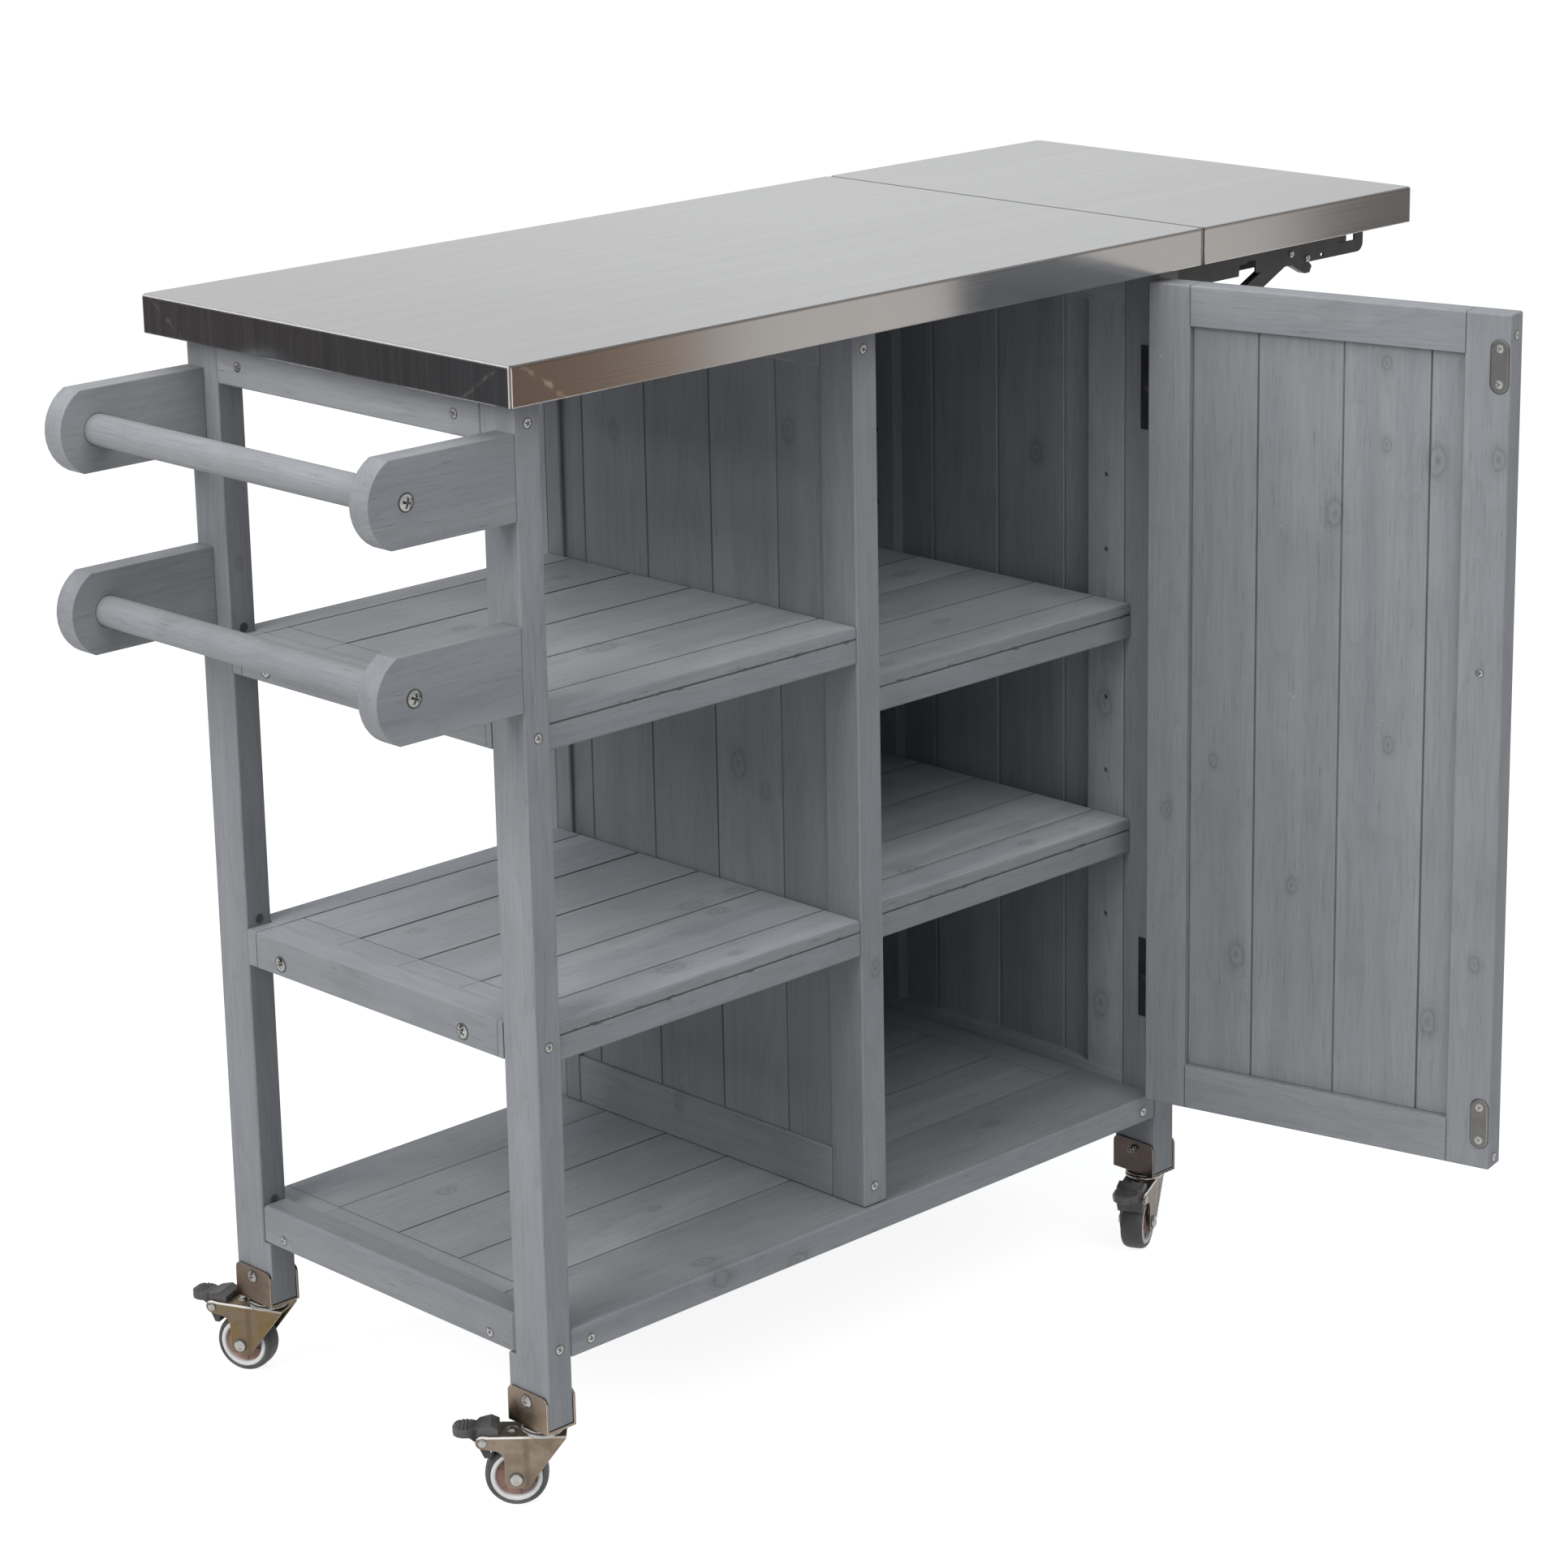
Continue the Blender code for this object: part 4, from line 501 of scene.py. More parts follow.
def dress_shelves():
    left_seams = (0.0450, 0.1197, 0.1945, 0.2692, 0.3427)
    right_seams = (0.0715, 0.1421, 0.2127, 0.2833)
    batten, batten_span = 0.048, ("y", 0.045, 0.3427)
    knots = {"left_lower": ((0.284, 0.133, 0.009), (0.290, 0.107, 0.007), (0.169, 0.033, 0.009),
                            (0.229, 0.021, 0.005), (0.335, 0.135, 0.007), (0.090, 0.250, 0.006)),
             "left_upper": ((0.173, 0.109, 0.010), (0.140, 0.235, 0.008), (0.300, 0.300, 0.006)),
             "right_lower": ((0.640, 0.262, 0.009), (0.480, 0.075, 0.007), (0.600, 0.050, 0.006)),
             "right_upper": ((0.655, 0.247, 0.008), (0.560, 0.110, 0.006), (0.430, 0.050, 0.006))}
    for level, shift in (("lower", 21.0), ("upper", 27.0)):
        left, right = "left_" + level, "right_" + level
        # painted light: the shelves' upper faces are painted paler, the right ones most
        stain("left_shelf_" + level, "X", left_seams, knots=knots[left], shift=shift, deck=1.58,
              cross=(("Y", ("x", -1, batten), batten_span),),
              chips=(SHELF_TOPS[left] - 0.010, 0.0035),
              joints=(("x", batten, batten_span, ("z", SHELF_TOPS[left] - 0.004, 1)),))
        stain("right_shelf_" + level, "X", right_seams, knots=knots[right], shift=shift + 40, deck=2.05,
              gap=0.45, chips=(SHELF_TOPS[right] - 0.010, 0.030))


def dress_door():
    low, high = ("z", -1, 0.1906), ("z", 0.8408, 2)
    hinge_stile, free_stile = 0.039, 0.2845
    rails = (("X", low, ("x", hinge_stile, free_stile)), ("X", high, ("x", hinge_stile, free_stile)))
    rail_ends = (("x", hinge_stile, low), ("x", hinge_stile, high),
                 ("x", free_stile, low), ("x", free_stile, high))
    stain("door_frame", "Z", (), "x", rails, rail_ends, on_door=True, shift=31.0,
          knots=((0.315, 0.757, 0.0075), (0.020, 0.420, 0.006), (0.306, 0.330, 0.006)))
    stain("door_planks", "Z", (0.0993, 0.1763, 0.2533), "x", on_door=True, shift=33.0,
          knots=((0.170, 0.696, 0.009), (0.260, 0.749, 0.011), (0.136, 0.369, 0.006),
                 (0.0845, 0.298, 0.009), (0.263, 0.270, 0.009), (0.222, 0.505, 0.006),
                 (0.214, 0.825, 0.005), (0.061, 0.468, 0.005), (0.215, 0.758, 0.005)))


# Metals, rubber and plastic
def brushed_steel(name, tint):
    """Brushed sheet: hair lines along the cart, a rolled rim and the marks of its folded corners, with
    painted light: a painted reflection gradient along the top, painted highlights on the rim, creases, left
    corner and skirt edges, and a painted dark line along the front rim.
    """
    n = Nodes(name)
    local = n.vector("SUBTRACT", n.object, tuple(ORIGIN))
    x, y, z = n.split(local)
    below = n.math("SUBTRACT", TOP_HEIGHT, z)
    skirt = n.remap(below, 0.0010, 0.0018)
    hair = n.noise(stretched(n, local, 3.0, 900.0), 1.0, 3.0, 0.6)
    wide = n.noise(stretched(n, local, 0.5, 60.0), 1.0, 2.0, 0.5)
    upright = n.noise(n.vector("MULTIPLY", local, (4.0, 260.0, 5.0)), 1.0, 3.0, 0.6)
    smear = n.noise(local, 3.5, 3.0, 0.5)
    colour = n.mix(1.0, tint, n.ramp(hair, ((0.2, 0.93), (0.5, 0.99), (0.8, 1.03))), "MULTIPLY")
    colour = n.mix(1.0, colour, n.ramp(smear, ((0.3, 0.98), (0.7, 1.015))), "MULTIPLY")
    # painted reflection: the top face is painted paler from the left end towards the middle
    painted_reflection_gradient = n.ramp(x, ((0.0, 0.87), (0.55, 1.03), (1.0, 1.03)))
    colour = n.mix(n.math("SUBTRACT", 1.0, skirt), colour, painted_reflection_gradient, "MULTIPLY")
    # the outer faces of the left and front skirts
    on_end = n.math("LESS_THAN", x, 0.0018 - TOP_END_OVERHANG)
    on_front = n.math("LESS_THAN", y, 0.0017 - TOP_SIDE_OVERHANG)
    left_end = n.math("MULTIPLY", on_end, skirt)
    front = n.math("MULTIPLY", on_front, skirt)
    streaks = n.ramp(upright, ((0.3, 0.80), (0.5, 1.0), (0.72, 1.25)))
    colour = n.mix(n.math("MULTIPLY", left_end, 0.8), colour, streaks, "MULTIPLY")
    # painted highlights: pale creases run down from the folded corners
    for face, reach in ((front, n.math("ADD", x, TOP_END_OVERHANG)),
                        (left_end, n.math("ADD", y, TOP_SIDE_OVERHANG)),
                        (left_end, n.math("SUBTRACT", CART_DEPTH + TOP_SIDE_OVERHANG, y))):
        bend = n.math("MULTIPLY_ADD", n.math("SUBTRACT", n.noise(local, 150.0, 3.0), 0.5), 0.012, reach)
        off = distance_from(n, n.math("MULTIPLY_ADD", below, -1.4, bend), 0.0095)
        broken = n.remap(n.noise(local, 130.0, 4.0), 0.42, 0.68)
        painted_crease = n.math("MULTIPLY", n.remap(off, 0.0003, 0.0048, 1.0, 0.0), broken)
        painted_crease = n.math("MULTIPLY", painted_crease, face)
        colour = n.mix(n.math("MULTIPLY", painted_crease, 0.75), colour, srgb(250, 248, 244))
    # the rolled rim: a painted highlight on the left end and a painted dark line along the front
    rim = n.remap(distance_from(n, below, 0.0012), 0.0006, 0.0013, 1.0, 0.0)
    colour = n.mix(n.math("MULTIPLY", rim, on_end), colour, srgb(255, 254, 252))
    # a painted highlight down the left end's front corner
    corner = n.remap(n.math("ADD", y, TOP_SIDE_OVERHANG), 0.0016, 0.0036, 1.0, 0.0)
    corner = n.math("MULTIPLY", corner, left_end)
    colour = n.mix(n.math("MULTIPLY", corner, 0.7), colour, srgb(250, 249, 247))
    colour = n.mix(n.math("MULTIPLY", n.math("MULTIPLY", rim, on_front), 0.6), colour, srgb(96, 90, 86))
    edge, soft = n.convex_edges(0.0012)
    # painted highlights along the skirts' edges
    edge_highlight = n.math("MULTIPLY", edge, n.remap(below, 0.0020, 0.0030))
    colour = n.mix(n.math("MULTIPLY", edge_highlight, 0.75), colour, srgb(240, 238, 235))
    rough = n.math("ADD", n.remap(hair, 0.2, 0.8, 0.20, 0.28), n.remap(wide, 0.3, 0.7, -0.01, 0.015))
    rough = n.math("MULTIPLY_ADD", skirt, -0.10, rough)
    return n.close(Base_Color=colour, Metallic=1.0, Roughness=rough,
                   Normal=n.bump(hair, 0.05, 0.0002, soft))


def zinc(name, tint, rough=0.26):
    """Zinc plating with a faint spangle, stained patches and bright edges."""
    n = Nodes(name)
    spangle = n.noise(n.object, 95.0, 3.0, 0.6)
    blotches = n.noise(n.object, 30.0, 4.0, 0.55)
    colour = n.mix(n.remap(blotches, 0.45, 0.66), tint, scaled(tint, 0.72))
    colour = n.mix(1.0, colour, n.ramp(spangle, ((0.3, 0.90), (0.7, 1.05))), "MULTIPLY")
    edge, soft = n.convex_edges(0.0008)
    colour = n.mix(n.math("MULTIPLY", edge, 0.75), colour, srgb(232, 230, 226))
    return n.close(Base_Color=colour, Metallic=1.0,
                   Roughness=n.remap(spangle, 0.3, 0.7, rough - 0.05, rough + 0.08),
                   Normal=n.bump(spangle, 0.12, 0.0003, soft))


def fork_metal(corner, tint, stain_tint):
    """Pressed fork: stained plating, painted shade in a crease down each cheek and a painted highlight
    along the fold at the top.
    """
    n = Nodes("fork_metal_" + corner)
    node = n.add("ShaderNodeMapping", vector_type="TEXTURE")
    n.put(node.inputs["Vector"], n.object)
    node.inputs["Location"].default_value = caster_frame(corner).translation
    node.inputs["Rotation"].default_value = (0, 0, math.radians(HEADINGS[corner]))
    x, y, z = n.split(node.outputs[0])
    cheek = n.remap(n.math("ABSOLUTE", y), 0.0128, 0.0134)
    grain = n.noise(n.object, 120.0, 4.0, 0.65)
    blotches = n.noise(n.object, 48.0, 4.0, 0.6)
    colour = n.mix(n.remap(blotches, 0.42, 0.62), tint, stain_tint)
    colour = n.mix(1.0, colour, n.ramp(grain, ((0.3, 0.86), (0.5, 1.0), (0.75, 1.06))), "MULTIPLY")
    # painted shade in the crease down each cheek
    painted_crease = n.remap(distance_from(n, x, 0.0125), 0.0006, 0.0042, 0.34, 0.0, smooth=True)
    colour = n.mix(n.math("MULTIPLY", painted_crease, cheek), colour, srgb(70, 60, 52))
    # a painted highlight along the fold at the top
    fold_highlight = n.math("MULTIPLY", cheek, n.remap(x, 0.006, 0.016, 0.35, 1.0))
    fold_highlight = n.math("MULTIPLY", n.remap(z, 0.0588, 0.0600), fold_highlight)
    colour = n.mix(n.math("MULTIPLY", fold_highlight, 0.85), colour, srgb(236, 234, 230))
    edge, soft = n.convex_edges(0.0007)
    colour = n.mix(n.math("MULTIPLY", edge, 0.6), colour, srgb(214, 206, 196))
    swell = n.remap(x, 0.004, 0.0125, smooth=True)
    height = n.math("MULTIPLY_ADD", n.math("MULTIPLY", swell, cheek), 1.6, n.math("MULTIPLY", grain, 0.2))
    return n.close(Base_Color=colour, Metallic=0.9, Roughness=n.remap(grain, 0.3, 0.7, 0.30, 0.44),
                   Normal=n.bump(height, 0.35, 0.0010, soft))


def black_coat(name):
    """Black paint on the brackets and hinges, paler along the edges."""
    n = Nodes(name)
    grain = n.noise(n.object, 900.0, 2.0)
    edge, soft = n.convex_edges(0.0006)
    colour = n.mix(n.math("MULTIPLY", edge, 0.4), srgb(34, 35, 38), srgb(120, 120, 122))
    colour = n.mix(n.remap(n.noise(n.object, 60.0, 3.0), 0.3, 0.7), colour, srgb(46, 47, 50))
    return n.close(Base_Color=colour, Metallic=0.2, Roughness=n.remap(grain, 0.3, 0.7, 0.38, 0.5),
                   Normal=n.bump(grain, 0.15, 0.0002, soft))


def moulded(name, colour, rough=0.55, grain=700.0):
    """Rubber, plastic or board: fine grain, a little dust and paler edges."""
    n = Nodes(name)
    fine = n.noise(n.object, grain, 2.0)
    dust = n.noise(n.object, 45.0, 4.0)
    edge, soft = n.convex_edges(0.0008)
    shade = n.mix(n.remap(dust, 0.42, 0.75), colour, lifted(colour, 0.05))
    shade = n.mix(n.math("MULTIPLY", edge, 0.35), shade, lifted(colour, 0.16))
    return n.close(Base_Color=shade, Roughness=n.remap(fine, 0.3, 0.7, rough - 0.06, rough + 0.08),
                   Normal=n.bump(fine, 0.2, 0.0003, soft))


def dress_metal():
    top = brushed_steel("brushed_top", srgb(162, 163, 165))
    dress("worktop_steel", top)
    dress("leaf_steel", top)
    core = moulded("core_board", srgb(120, 104, 88), 0.7, 300.0)
    dress("worktop_core", core)
    dress("leaf_core", core)
    # each corner's plate and fork tints differ, partly by rust and partly as painted light and shade
    for corner, plate, fork, stain_tint in (
            ("front_left", srgb(134, 120, 105), srgb(134, 121, 107), srgb(114, 101, 86)),
            ("back_left", srgb(108, 93, 80), srgb(112, 98, 82), srgb(112, 94, 62)),
            ("front_right", srgb(78, 69, 65), srgb(104, 95, 87), srgb(84, 72, 62)),
            ("back_right", srgb(112, 98, 86), srgb(128, 116, 104), srgb(106, 95, 84))):
        dress("caster_bracket_" + corner, zinc("zinc_plate_" + corner, plate, 0.30))
        dress("caster_fork_" + corner, fork_metal(corner, fork, stain_tint))
        dress("caster_pedal_" + corner, moulded("pedal_plastic_" + corner, srgb(46, 45, 46)))
    dress("door_knob", zinc("knob_metal", srgb(120, 122, 126)))
    black = black_coat("black_coat")
    for side in ("front", "back"):
        for part in ("leaf_wall_bracket_", "leaf_bracket_arm_", "leaf_strut_", "leaf_release_lever_"):
            dress(part + side, black)
    for level in ("lower", "upper"):
        dress("door_hinge_" + level + "_frame_leaf", black)
        dress("door_hinge_" + level + "_door_leaf", black)
        dress("magnetic_catch_" + level, moulded("catch_plastic_" + level, srgb(40, 40, 42)))


# Mesh helpers
def piece(name, bm, materials, body):
    """A finished piece that moves with its body."""
    data = bpy.data.meshes.new(name)
    bmesh.ops.recalc_face_normals(bm, faces=bm.faces)
    bm.to_mesh(data)
    bm.free()
    for face in data.polygons:
        face.use_smooth = True
    for material in materials:
        data.materials.append(material)
    thing = bpy.data.objects.new(name, data)
    bpy.context.scene.collection.objects.link(thing)
    data.set_sharp_from_angle(angle=math.radians(35))
    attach(thing, body)
    return thing


def facing(place, normal, turn=0.0):
    """A matrix that stands its z axis on the normal at the place."""
    quat = Vector(normal).to_track_quat("Z", "Y")
    return Matrix.Translation(place) @ quat.to_matrix().to_4x4() @ Matrix.Rotation(turn, 4, "Z")


def add_turned(bm, profile, matrix, steps=24, slot=0):
    """A profile of (radius, height) turned about z."""
    rings = []
    for radius, height in profile:
        if radius <= 0:
            rings.append([bm.verts.new(matrix @ Vector((0, 0, height)))])
            continue
        ring = []
        for step in range(steps):
            angle = 2 * math.pi * step / steps
            point = Vector((radius * math.cos(angle), radius * math.sin(angle), height))
            ring.append(bm.verts.new(matrix @ point))
        rings.append(ring)
    for lower, upper in zip(rings, rings[1:]):
        for step in range(steps):
            after = (step + 1) % steps
            corners = [lower[step % len(lower)], lower[after % len(lower)],
                       upper[after % len(upper)], upper[step % len(upper)]]
            unique = list(dict.fromkeys(corners))
            if len(unique) > 2:
                bm.faces.new(unique).material_index = slot


def add_screw(bm, matrix, radius=0.0036, height=0.0012, recess=0.75):
    """A cross-recessed round head in the shadow line of its hole."""
    steps, rings = 32, (0.14, 0.3, 0.46, 0.6, 0.70, 0.84, 0.96, 1.0)
    centre = (bm.verts.new(matrix @ Vector((0, 0, height * (1 - recess)))), True)
    last = None
    for share in rings:
        ring = []
        for step in range(steps):
            angle = 2 * math.pi * step / steps
            u, v = share * math.cos(angle), share * math.sin(angle)
            inside = min(abs(u), abs(v)) < 0.15 and max(abs(u), abs(v)) < 0.66
            z = height * (1 - 0.75 * share * share) - (height * recess if inside else 0)
            ring.append((bm.verts.new(matrix @ Vector((radius * u, radius * v, max(z, 0.00005)))), inside))
        for step in range(steps):
            after = (step + 1) % steps
            if last is None:
                corners = (centre, ring[step], ring[after])
            else:
                corners = (last[step], ring[step], ring[after], last[after])
            face = bm.faces.new([vertex for vertex, _ in corners])
            # the cross's recess is given the painted shade too
            face.material_index = int(sum(inside for _, inside in corners) >= 3)
        last = ring
    # a ring of painted shade round the head, the shadow line of its hole
    add_turned(bm, [(radius, -0.0006), (radius * 1.02, 0.00012), (radius * 1.2, 0.00012),
                    (radius * 1.22, -0.0006)], matrix, steps, 1)


def add_stadium(bm, matrix, width, length, thick, slot):
    """A plate with round ends and eased edges, lying on z."""
    outline = []
    radius = width / 2
    for side, start in ((1, 0), (-1, 180)):
        for step in range(13):
            angle = math.radians(start + 15 * step)
            y = side * (length / 2 - radius) + radius * math.sin(angle)
            outline.append((radius * math.cos(angle), y))
    rings = []
    for share, z in ((1.0, -0.0002), (1.0, thick * 0.6), (0.94, thick)):
        rings.append([bm.verts.new(matrix @ Vector((x * share, y * (1 - (1 - share) * width / length), z)))
                      for x, y in outline])
    for low, high in zip(rings, rings[1:]):
        for index in range(len(low)):
            after = (index + 1) % len(low)
            bm.faces.new((low[index], low[after], high[after], high[index])).material_index = slot
    bm.faces.new(rings[-1]).material_index = slot


def add_box(bm, matrix, size):
    """A block with eased edges, centred on the matrix."""
    made = bmesh.ops.create_cube(bm, size=1)
    bmesh.ops.scale(bm, vec=size, verts=made["verts"])
    edges = list({edge for vertex in made["verts"] for edge in vertex.link_edges})
    cut = bmesh.ops.bevel(bm, geom=edges, offset=0.0002, segments=2, affect="EDGES")
    block = {vertex for face in cut["faces"] for vertex in face.verts}
    for vertex in list(block):
        for edge in vertex.link_edges:
            block.update(edge.verts)
    for vertex in block:
        vertex.co = matrix @ vertex.co


# Fastenings
def make_frame_screws(chrome, shadow):
    front, left, back, right = (0, -1, 0), (-1, 0, 0), (0, 1, 0), (1, 0, 0)
    bm = bmesh.new()
    places = [(LEG_MIDDLE, z) for z in LEG_SCREW_HEIGHTS]
    for x, z in (*places, *BASE_BOARD_SCREWS):
        add_screw(bm, facing(cart_point(x, 0, z), front, x * 30 + z * 50))
    for z in (0.8648, 0.1638):
        add_screw(bm, facing(cart_point(POST_MIDDLE, 0.003, z), front, z * 9))
    for y in (0.0676, 0.328):
        add_screw(bm, facing(cart_point(0, y, 0.1326), left, y * 9))
        add_screw(bm, facing(cart_point(0, y, LEG_SCREW_HEIGHTS[0]), left, y * 7))
    for shelf in ("left_lower", "left_upper"):
        for y in (0.086, 0.312):
            place = cart_point(0, y, SHELF_TOPS[shelf] - 0.020)
            add_screw(bm, facing(place, left, y * 11), *SHELF_SCREW)
    for z in LEG_SCREW_HEIGHTS:
        for x in (LEG_MIDDLE, CART_LENGTH - LEG_MIDDLE):
            add_screw(bm, facing(cart_point(x, CART_DEPTH, z), back, x * 40 + z * 20))
    for y in (0.019, CART_DEPTH - 0.019):
        for z in (LEG_SCREW_HEIGHTS[0], LEG_SCREW_HEIGHTS[-1]):
            add_screw(bm, facing(cart_point(CART_LENGTH, y, z), right, y * 40 + z * 20))
    piece("frame_screws", bm, (chrome, shadow), "cart")


def outer_faces(front_part, back_part):
    """The outer faces of a pair of arms, as (y, direction)."""
    return (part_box(front_part)[0].y, -1), (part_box(back_part)[1].y, 1)


def make_arm_fixings(chrome, shadow):
    bm = bmesh.new()
    for z in HANDLE_BOLT_HEIGHTS:
        for y, way in outer_faces("handle_arm_front_upper", "handle_arm_back_upper"):
            add_screw(bm, facing((ORIGIN.x - 0.1025, y, z), (0, way, 0), 0.5 + z), *HANDLE_BOLT)
    piece("handle_bolts", bm, (chrome, shadow), "cart")
    bm = bmesh.new()
    for z in HINGE_SCREW_HEIGHTS:
        add_screw(bm, facing(cart_point(0.7095, 0.011, z), (-1, 0, 0), z * 9), *HINGE_SCREW)
    piece("hinge_screws", bm, (chrome, shadow), "cart")
    bm = bmesh.new()
    # dark discs of painted shade stand in for the sockets' holes in the legs
    hole = [(0.0042, -0.0002), (0.0041, 0.0002), (0.0037, 0.0003), (0.0035, 0.0001), (0, 0.0001)]
    for z in LEG_SOCKET_HEIGHTS:
        for y, way in ((0.355, -1), (0.038, 1)):
            add_turned(bm, hole, facing(cart_point(LEG_MIDDLE, y, z), (0, way, 0)))
    piece("leg_socket_shade", bm, (shadow,), "cart")
    bm = bmesh.new()
    rivet = [(0.0031, -0.0003), (0.0031, 0.0006), (0.0024, 0.0012), (0.0011, 0.0013), (0, 0.0009)]
    for x, z in BRACKET_RIVETS:
        for y, way in outer_faces("leaf_bracket_arm_front", "leaf_bracket_arm_back"):
            add_turned(bm, rivet, facing((ORIGIN.x + x, y, z), (0, way, 0)))
    piece("leaf_bracket_rivets", bm, (chrome,), "drop_leaf")


def make_door_fittings(chrome, shadow, plate):
    """Two strike plates, the knob's screw and the screws in the door's free edge."""
    bm = bmesh.new()
    inner = DOOR @ Vector((0, 0, 0))
    normal = (DOOR @ Vector((0, 1, 0)) - inner).normalized()
    edge_way = (DOOR @ Vector((1, 0, 0)) - inner).normalized()
    for z in STRIKE_PLATE_HEIGHTS:
        place = DOOR @ Vector((STRIKE_PLATE_X, DOOR_INNER, z))
        stand = facing(place, normal)
        # a dark outline of painted shade under each plate
        add_stadium(bm, stand, 0.0166, 0.0446, 0.0004, 1)
        add_stadium(bm, stand, 0.015, 0.043, 0.0011, 2)
        for lift in (-0.0145, 0.0145):
            head = place + Vector((0, 0, lift)) + normal * 0.0008
            add_screw(bm, facing(head, normal, 0.4 + lift * 20), *PLATE_SCREW)
    add_screw(bm, facing(DOOR @ Vector((KNOB_X, DOOR_INNER, KNOB_HEIGHT)), normal, 0.3), *KNOB_SCREW)
    for z in (0.857, 0.160):
        add_screw(bm, facing(DOOR @ Vector((DOOR_WIDTH, 0.0125, z)), edge_way, z * 3), *DOOR_EDGE_SCREW)
    piece("door_fittings", bm, (chrome, shadow, plate), "door")


# Casters
def make_wheel(corner, tyre, ring, hub):
    place = caster_frame(corner) @ Matrix.Translation(WHEEL) @ Matrix.Rotation(math.radians(90), 4, "X")
    body = "wheel_" + corner
    half = WHEEL_HALF_WIDTH
    bm = bmesh.new()
    side = [(0.0205, half - 0.0012), (0.0212, half), (0.0222, half), (0.0236, half - 0.0010),
            (0.0246, half - 0.0032), (0.0250, half - 0.0062)]
    profile = side + [(radius, -height) for radius, height in reversed(side)]
    add_turned(bm, profile + profile[:1], place, 64)
    bmesh.ops.remove_doubles(bm, verts=bm.verts, dist=1e-6)
    tread = piece("wheel_tyre_" + corner, bm, (tyre,), body)
    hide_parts("caster_wheel_" + corner)
    bm = bmesh.new()
    for way in (1, -1):
        section = [(0.0163, half - 0.0034), (0.0168, half - 0.0006), (0.0178, half + 0.0001),
                   (0.0196, half + 0.0001), (0.0206, half - 0.0008), (0.0206, 0.004)]
        add_turned(bm, [(radius, way * height) for radius, height in section], place, 64)
    piece("wheel_ring_" + corner, bm, (ring,), body)
    bm = bmesh.new()
    for way in (1, -1):
        section = [(0.0032, half - 0.0004), (0.0062, half - 0.0004), (0.0068, half - 0.0012),
                   (0.0070, half - 0.0032), (0.0160, half - 0.0034), (0.0166, half - 0.0030)]
        add_turned(bm, [(radius, way * height) for radius, height in section], place, 64)
        for spoke in range(6):
            turn = Matrix.Rotation(math.radians(60 * spoke + 20), 4, "Z")
            rib = place @ turn @ Matrix.Translation((0.0113, 0, way * (half - 0.0031)))
            add_box(bm, rib, (0.0092, 0.0012, 0.0009))
    piece("wheel_hub_" + corner, bm, (hub,), body)


def across(frame_at, point, way):
    """A matrix at a point of the fork's cheek, its z axis out of the cheek."""
    x, y, z = point
    return frame_at @ Matrix.Translation((x, way * y, z)) @ Matrix.Rotation(math.radians(-90 * way), 4, "X")


def make_fork_rivets(corner, chrome, shadow):
    frame_at = caster_frame(corner)
    bm = bmesh.new()
    for way in (1, -1):
        cheek = across(frame_at, (WHEEL.x, FORK_CHEEK, WHEEL.z), way)
        # a ring of painted shade round the axle bolt
        add_turned(bm, [(0.0056, -0.0004), (0.0058, 0.0001), (0.0050, 0.0004)], cheek, 32, 1)
        add_turned(bm, [(0.0050, 0.0000), (0.0050, 0.0016), (0.0044, 0.0023), (0.0030, 0.0026),
                        (0.0024, 0.0021), (0.0012, 0.0019), (0, 0.0022)], cheek, 32)
        ear = across(frame_at, (PEDAL.x, FORK_CHEEK, PEDAL.z), way)
        add_turned(bm, [(0.0034, -0.0003), (0.0034, 0.0010), (0.0028, 0.0015), (0.0017, 0.0016),
                        (0.0012, 0.0012), (0, 0.0013)], ear)
    top = frame_at @ Matrix.Translation((0.0235, 0, FORK_TOP))
    add_turned(bm, [(0.0052, -0.0002), (0.0050, 0.0004), (0.0040, 0.0005), (0.0036, 0.0014),
                    (0.0022, 0.0019), (0.0014, 0.0014), (0, 0.0013)], top, 32)
    piece("fork_rivets_" + corner, bm, (chrome, shadow), "swivel_" + corner)


def make_races(corner, chrome):
    """The bright rims of the ball race, one on the fork and one under the leg's plate."""
    frame_at = caster_frame(corner)
    bm = bmesh.new()
    rim = [(0.0140, 0.0630), (0.0156, 0.0632), (0.0165, 0.0626), (0.0168, 0.0614), (0.0163, 0.0601),
           (0.0148, 0.0594)]
    add_turned(bm, rim, frame_at, 48)
    piece("lower_race_" + corner, bm, (chrome,), "swivel_" + corner)
    bm = bmesh.new()
    cup = [(0.0114, 0.0668), (0.0134, 0.0663), (0.0154, 0.0656), (0.0162, 0.0649), (0.0159, 0.0642),
           (0.0142, 0.0641)]
    add_turned(bm, cup, frame_at, 48)
    piece("upper_race_" + corner, bm, (chrome,), "cart")


def make_casters(chrome, shadow, tyre, ring, hub):
    for corner in CORNERS:
        make_wheel(corner, tyre, ring, hub)
        make_fork_rivets(corner, chrome, shadow)
        make_races(corner, chrome)
    bm = bmesh.new()
    for x, way in ((-BRACKET_WALL, -1), (CART_LENGTH + BRACKET_WALL, 1)):
        for y in (0.023, CART_DEPTH - 0.023):
            add_screw(bm, facing(cart_point(x, y, 0.0892), (way, 0, 0), y * 5), *CASTER_BOLT)
    piece("caster_bolts", bm, (chrome, shadow), "cart")


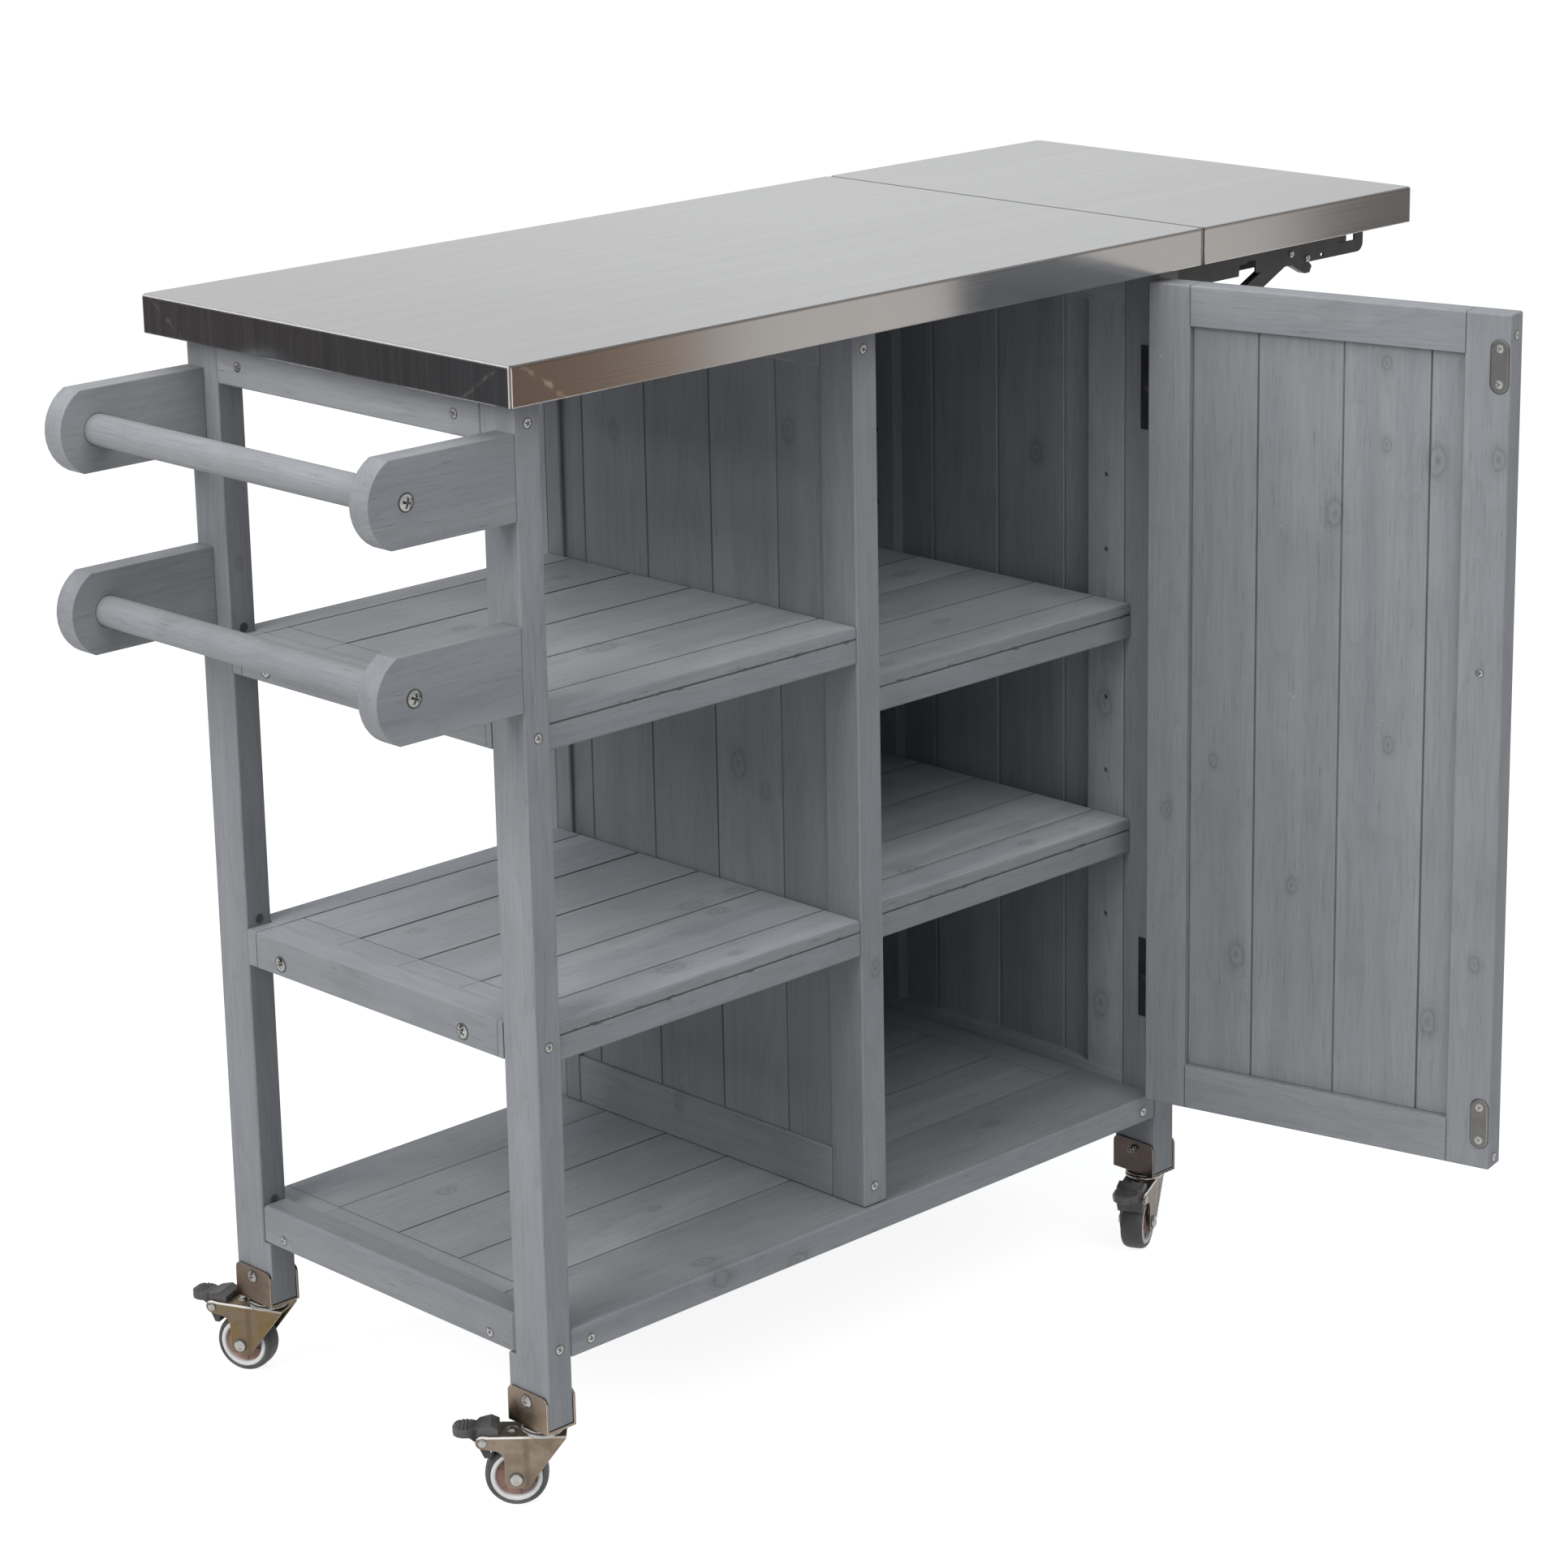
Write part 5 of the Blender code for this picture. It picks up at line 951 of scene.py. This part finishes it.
# Stage
def make_floor():
    """A pale floor, near white to the eye, that keeps the cart's shadow."""
    bm = bmesh.new()
    bmesh.ops.create_grid(bm, x_segments=2, y_segments=2, size=FLOOR_SIZE)
    data = bpy.data.meshes.new("floor")
    bm.to_mesh(data)
    bm.free()
    floor = bpy.data.objects.new("floor", data)
    bpy.context.scene.collection.objects.link(floor)
    n = Nodes("floor")
    path = n.add("ShaderNodeLightPath")
    diffuse = n.add("ShaderNodeBsdfDiffuse")
    diffuse.inputs["Color"].default_value = grey(0.62)
    shown = n.add("ShaderNodeBsdfDiffuse")
    shown.inputs["Color"].default_value = grey(0.25)
    glow = n.add("ShaderNodeEmission")
    glow.inputs["Color"].default_value = grey(1.0)
    glow.inputs["Strength"].default_value = FLOOR_GLOW
    both = n.add("ShaderNodeAddShader")
    n.put(both.inputs[0], shown.outputs[0])
    n.put(both.inputs[1], glow.outputs[0])
    mixer = n.add("ShaderNodeMixShader")
    n.put(mixer.inputs[0], n.math("MAXIMUM", path.outputs["Is Camera Ray"], path.outputs["Is Glossy Ray"]))
    n.put(mixer.inputs[1], diffuse.outputs[0])
    n.put(mixer.inputs[2], both.outputs[0])
    n.surface(mixer.outputs[0])
    data.materials.append(n.material)


def make_surround():
    """Cool light from all round, which the eye and the metal see as plain white."""
    world = bpy.data.worlds.new("surround")
    bpy.context.scene.world = world
    world.use_nodes = True
    tree = world.node_tree
    tree.nodes.clear()
    kinds = ("LightPath", "Background", "Background", "Math", "Math", "MixShader", "OutputWorld")
    rays, light, white, seen, shown, mixer, output = (tree.nodes.new("ShaderNode" + kind) for kind in kinds)
    light.inputs["Color"].default_value = AMBIENT_COLOUR
    light.inputs["Strength"].default_value = AMBIENT_STRENGTH
    white.inputs["Color"].default_value = grey(1.0)
    white.inputs["Strength"].default_value = 1.0
    seen.operation = "MAXIMUM"
    shown.operation = "MAXIMUM"
    for source, target in ((rays.outputs["Is Camera Ray"], seen.inputs[0]),
                           (rays.outputs["Is Glossy Ray"], seen.inputs[1]),
                           (seen.outputs[0], shown.inputs[0]),
                           (rays.outputs["Is Transmission Ray"], shown.inputs[1]),
                           (shown.outputs[0], mixer.inputs[0]),
                           (light.outputs[0], mixer.inputs[1]),
                           (white.outputs[0], mixer.inputs[2]),
                           (mixer.outputs[0], output.inputs["Surface"])):
        tree.links.new(source, target)


def add_card(name, ends, span, stops):
    """A studio card beside the picture that only shows as a reflection in the metal."""
    (x0, y0), (x1, y1) = ends
    corners = [(x0, y0, span[0]), (x1, y1, span[0]), (x1, y1, span[1]), (x0, y0, span[1])]
    data = bpy.data.meshes.new(name)
    data.from_pydata(corners, [], [(0, 1, 2, 3)])
    card = bpy.data.objects.new(name, data)
    bpy.context.scene.collection.objects.link(card)
    n = Nodes(name)
    way = Vector((x1 - x0, y1 - y0, 0))
    share = n.add("ShaderNodeVectorMath", operation="DOT_PRODUCT")
    n.put(share.inputs[0], n.vector("SUBTRACT", n.object, (x0, y0, 0)))
    share.inputs[1].default_value = way / way.length_squared
    glow = n.add("ShaderNodeEmission")
    n.put(glow.inputs["Color"], n.ramp(share.outputs["Value"], stops, smooth=False))
    n.surface(glow.outputs[0])
    data.materials.append(n.material)
    card.visible_camera = False
    card.visible_diffuse = False
    card.visible_shadow = False
    card.visible_transmission = False


def add_lamp(name, place, target, size, power):
    """A square soft lamp that the metal doesn't mirror."""
    data = bpy.data.lights.new(name, "AREA")
    data.shape = "SQUARE"
    data.size = size
    data.energy = power
    data.color = LAMP_COLOUR
    lamp = bpy.data.objects.new(name, data)
    way = Vector(target) - Vector(place)
    lamp.matrix_world = Matrix.Translation(place) @ way.to_track_quat("-Z", "Y").to_matrix().to_4x4()
    lamp.visible_glossy = False
    bpy.context.scene.collection.objects.link(lamp)


def make_stage():
    make_floor()
    make_surround()
    add_lamp("key", (-3.2, 0.1, 2.5), (0.0, 0.1, 0.45), 2.2, 138)
    add_lamp("fill", (-0.5, -2.2, 2.9), (0.0, 0.1, 0.4), 2.2, 54)
    add_lamp("overhead", (0.0, 0.2, 3.2), (0.0, 0.19, 0.0), 2.0, 40)
    add_card("warm_card", ((0.05, -1.1), (2.3, -1.1)), (0.12, 1.15),
             ((0.0, (0.20, 0.14, 0.11, 1)), (0.21, (0.36, 0.25, 0.18, 1)), (0.265, (0.56, 0.43, 0.34, 1)),
              (0.303, (1.06, 1.0, 0.93, 1)), (0.71, (1.06, 1.0, 0.93, 1)), (0.76, (0.28, 0.25, 0.23, 1))))
    add_card("dark_card", ((-1.3, 2.1), (-1.3, 0.45)), (0.12, 1.15),
             ((0.0, (0.16, 0.14, 0.13, 1)), (0.45, (0.12, 0.11, 0.11, 1)), (1.0, (0.12, 0.12, 0.13, 1))))
    add_card("grey_card", ((2.06, 0.74), (2.06, 2.14)), (0.85, 1.75),
             ((0.0, grey(0.84)), (0.45, grey(0.94)), (1.0, grey(1.0))))


bpy.context.scene.view_settings.view_transform = "Standard"
make_camera()
make_stage()
dress_wood()
dress_metal()
CHROME = zinc("bright_zinc", srgb(166, 165, 162), 0.20)
SHADOW = moulded("screw_shadow", srgb(52, 53, 55), 0.8)
make_frame_screws(CHROME, SHADOW)
make_arm_fixings(CHROME, SHADOW)
make_door_fittings(CHROME, SHADOW, zinc("strike_plate", srgb(108, 107, 105), 0.34))
make_casters(CHROME, SHADOW, moulded("tyre_rubber", srgb(52, 52, 52), 0.6, 500.0),
             moulded("white_ring", srgb(184, 184, 183), 0.5), moulded("brown_hub", srgb(128, 96, 86), 0.5))
